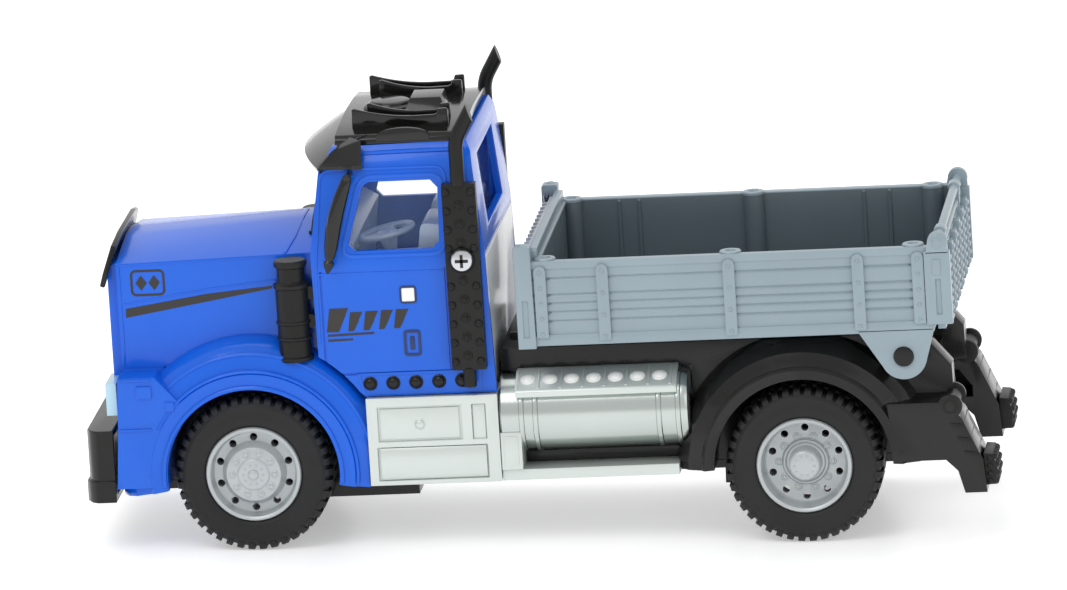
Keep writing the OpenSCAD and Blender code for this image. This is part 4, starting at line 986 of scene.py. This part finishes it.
def cabin():
    s = Shape()
    # seat seams, dials and a lever
    for side in (-1, 1):
        for k in range(4):
            y = side * (6.4 + 4.2 * k)
            s.box((-28.6, -15.4), (y - 0.2, y + 0.2), (5.8, 6.3))
            s.skin([[(-17.6, y - 0.2, 7.0), (-17.6, y + 0.2, 7.0), (-17.0, y + 0.2, 7.0),
                     (-17.0, y - 0.2, 7.0)], [(-15.5, y - 0.2, 20.6), (-15.5, y + 0.2, 20.6),
                    (-14.9, y + 0.2, 20.6), (-14.9, y - 0.2, 20.6)]])
    for y, r in ((-17.5, 1.6), (-13.2, 2.0), (-8.8, 1.6), (2, 1.1), (5, 1.1)):
        s.lathe((-38.3, y, 17.6), (1, 0, 0.35), [(r, -0.8), (r, 0.35), (r * 0.85, 0.5),
                (r * 0.8, 0.3), (0.1, 0.3)], n=32)
    s.rod((-33, -2, -2), (-31.5, -2, 8.5), 0.6, 0.5, n=16)
    s.dome((-31.5, -2, 8.3), (0.1, 0, 1), 1.2, 1.3, n=20)
    # forward cushions of the seat backs, with ribs
    for side in (-1, 1):
        s.along_y(soften([(-24.2, 6.2), (-17.4, 6.2), (-16.6, 21.6), (-22.6, 22.4)], 1.6),
                  *sorted((side * 4.6, side * 21.0)))
        for k in range(5):
            y = side * (6.6 + 3.1 * k)
            s.along_y(soften([(-24.6, 7.4), (-23.0, 7.4), (-21.6, 20.8), (-22.9, 21.0)], 0.5),
                      y - 0.55, y + 0.55)
    s.done("cabin_fittings", INTERIOR, bevel=0.06)


def steering():
    """A wheel with a thick rim, three spokes and a drum under it."""
    c, up = Vector((-31.4, -12.5, 18.9)), Vector((-0.22, 0, 1)).normalized()
    s = Shape().lathe(c, up, [(6.0 + 0.75 * math.cos(t), 0.75 * math.sin(t))
                              for t in (2 * math.pi * k / 14 for k in range(14))], n=56, loop=True)
    s.lathe(c, up, [(1.2, -4.6), (2.4, -0.9), (2.3, 0.1), (1.9, 0.5), (1.2, 0.62), (0.1, 0.66)],
            n=36)
    u = up.orthogonal().normalized()
    for k in range(3):
        d = Matrix.Rotation(2 * math.pi * k / 3 + 0.5, 3, up) @ u
        s.rod(c + d * 1.6 - up * 0.1, c + d * 5.8 - up * 0.1, 0.62, 0.5, n=14)
    s.done("steering_wheel_moulded", INTERIOR, ("steering_wheel",), bevel=0.0, smooth=40)


def under():
    """Ribs under the base plate."""
    s = Shape()
    for k in range(9):
        x = -20 + 8 * k
        s.box((x, x + 1.2), (-12.5, 12.5), (-38.75, -38.1))
    for y in (-14.6, 14.6):
        s.box((-88, 83), (y - 0.6, y + 0.6), (-38.8, -38.1))
    s.done("base_ribs", SATIN_BLACK, bevel=0.15)


def deck():
    """Rails, cross-members and a ram on the frame's top, which the tipped bed uncovers."""
    s = Shape()
    for y in (-13.0, 13.0):
        s.along_x([(y - 1.6, -7.2), (y + 1.6, -7.2), (y + 1.6, -6.9), (y + 0.9, -6.7),
                   (y + 0.9, -5.6), (y - 0.9, -5.6), (y - 0.9, -6.7), (y - 1.6, -6.9)], -4.6, 74)
        for k in range(9):
            s.dome((-1 + 9.2 * k, y + (2.6 if y > 0 else -2.6), -7.0), (0, 0, 1), 0.75, 0.5, n=16)
    for x in (4, 22, 40, 58, 71):
        s.box((x - 1.1, x + 1.1), (-12.4, 12.4), (-7.2, -6.1))
    s.lathe((24, 0, -6.3), (1, 0, 0), [(0.7, 0), (1.2, 0.3), (1.2, 17.5), (0.95, 17.8), (0.7, 17.9),
            (0.7, 31.0), (1.1, 31.2), (1.1, 33.0), (0.5, 33.2)], n=32)
    for x in (24, 57):
        s.box((x - 1.3, x + 1.3), (-2.2, 2.2), (-7.2, -5.7))
    s.done("deck_rails", SATIN_BLACK, bevel=0.15)


steering()
for hand in ("left", "right"):
    mirror(hand)
    side_box(hand)
    fuel_tank(hand)
cab_trim()
hood_trim()
markers()
front()
tail()
cabin()
under()
deck()

heads = Shape().lathe((SCREW[0], -34.2, SCREW[1]), (0, -1, 0), [(2.5, -0.5), (2.5, 0.9), (2.3, 1.2),
        (1.6, 1.42), (0.1, 1.5)], n=48)
heads.mirrored()
heads.done("shield_screws", STEEL, ("exhaust_screws",), bevel=0.0, smooth=30)
rings = Shape().lathe((SCREW[0], -34.2, SCREW[1]), (0, -1, 0), [(2.55, -0.3), (2.95, -0.3),
        (2.95, 0.5), (2.8, 0.75), (2.55, 0.6)], n=48, loop=True)
for x, z in ((1.5, 0.34), (0.34, 1.5)):
    rings.box((SCREW[0] - x, SCREW[0] + x), (-35.9, -35.3), (SCREW[1] - z, SCREW[1] + z))
rings.mirrored()
rings.done("shield_screw_seats", BLACK, bevel=0.0)

# how far each moulded node's own edges are rounded, and in how many steps
ROUNDING = {
    "front_bumper": (0.0007, 4), "hood_fenders": (0.0005, 3), "cab_shell": (0.00035, 3),
    "bug_deflector": (0.0004, 3), "seats": (0.0009, 4), "interior": (0.0006, 3),
    "base_plate": (0.0004, 3), "cab_back_panel": (0.0002, 2, PANEL_WHITE),
}

for node in nodes:
    if not nodes[node].hide_render:
        rounded(node, *ROUNDING.get(node, ()))

# ---- stage ----

FLOOR_GLOW, SKY = 0.38, 0.82
floor_mesh = bpy.data.meshes.new("Floor")
floor_mesh.from_pydata([(-8, -8, 0), (8, -8, 0), (8, 24, 0), (-8, 24, 0)], [], [(0, 1, 2, 3)])
floor = bpy.data.objects.new("Floor", floor_mesh)
scene.collection.objects.link(floor)
paper = plastic("White sweep", (0.93, 0.93, 0.93), rough=0.3, bump=0.0, vary=0.004)
floor_mesh.materials.append(paper)
sheet = paper.node_tree.nodes["Principled BSDF"]
sheet.inputs["Emission Color"].default_value = (1, 1, 1, 1)
sheet.inputs["Emission Strength"].default_value = FLOOR_GLOW


def area(name, place, target, size, power, tint=(1, 1, 1)):
    light = bpy.data.lights.new(name, "AREA")
    light.shape = "RECTANGLE"
    light.size, light.size_y = size
    light.energy = power
    light.color = tint
    ob = bpy.data.objects.new(name, light)
    ob.location = place
    ob.rotation_euler = (Vector(target) - Vector(place)).to_track_quat("-Z", "Y").to_euler()
    scene.collection.objects.link(ob)


area("Key", (-0.5, -0.9, 1.3), (0, 0, 0.05), (0.9, 0.7), 5.5)
area("Fill", (0.9, -1.1, 0.7), (0, 0, 0.05), (0.9, 0.9), 1.5)
area("Top", (0.1, 0.5, 1.5), (0, 0, 0.05), (1.4, 0.9), 4.5)
world = bpy.data.worlds.new("Studio")
world.use_nodes = True
world.node_tree.nodes["Background"].inputs["Color"].default_value = (1, 1, 1, 1)
world.node_tree.nodes["Background"].inputs["Strength"].default_value = SKY
scene.world = world
scene.view_settings.view_transform = "Standard"

# ---- camera ----

VIEW_AZIMUTH, VIEW_ELEVATION, VIEW_ROLL = (math.radians(a) for a in (6.301, 12.213, -3.579))
VIEW_DISTANCE, VIEW_LENS, SENSOR, FAR = 3.149, 463.3, 36, 50
back = Vector((math.sin(VIEW_AZIMUTH) * math.cos(VIEW_ELEVATION),
               -math.cos(VIEW_AZIMUTH) * math.cos(VIEW_ELEVATION), math.sin(VIEW_ELEVATION)))
right = Vector((math.cos(VIEW_AZIMUTH), math.sin(VIEW_AZIMUTH), 0))
right = Matrix.Rotation(VIEW_ROLL, 3, back) @ right
up = back.cross(right)
turn = BODY.to_3x3() @ Matrix((right, up, back)).transposed()
camera_data = bpy.data.cameras.new("Camera")
camera_data.sensor_width = SENSOR
camera_data.lens = VIEW_LENS
camera_data.clip_end = FAR
camera = bpy.data.objects.new("Camera", camera_data)
camera.matrix_world = Matrix.Translation(BODY @ (back * VIEW_DISTANCE)) @ turn.to_4x4()
scene.collection.objects.link(camera)
scene.camera = camera
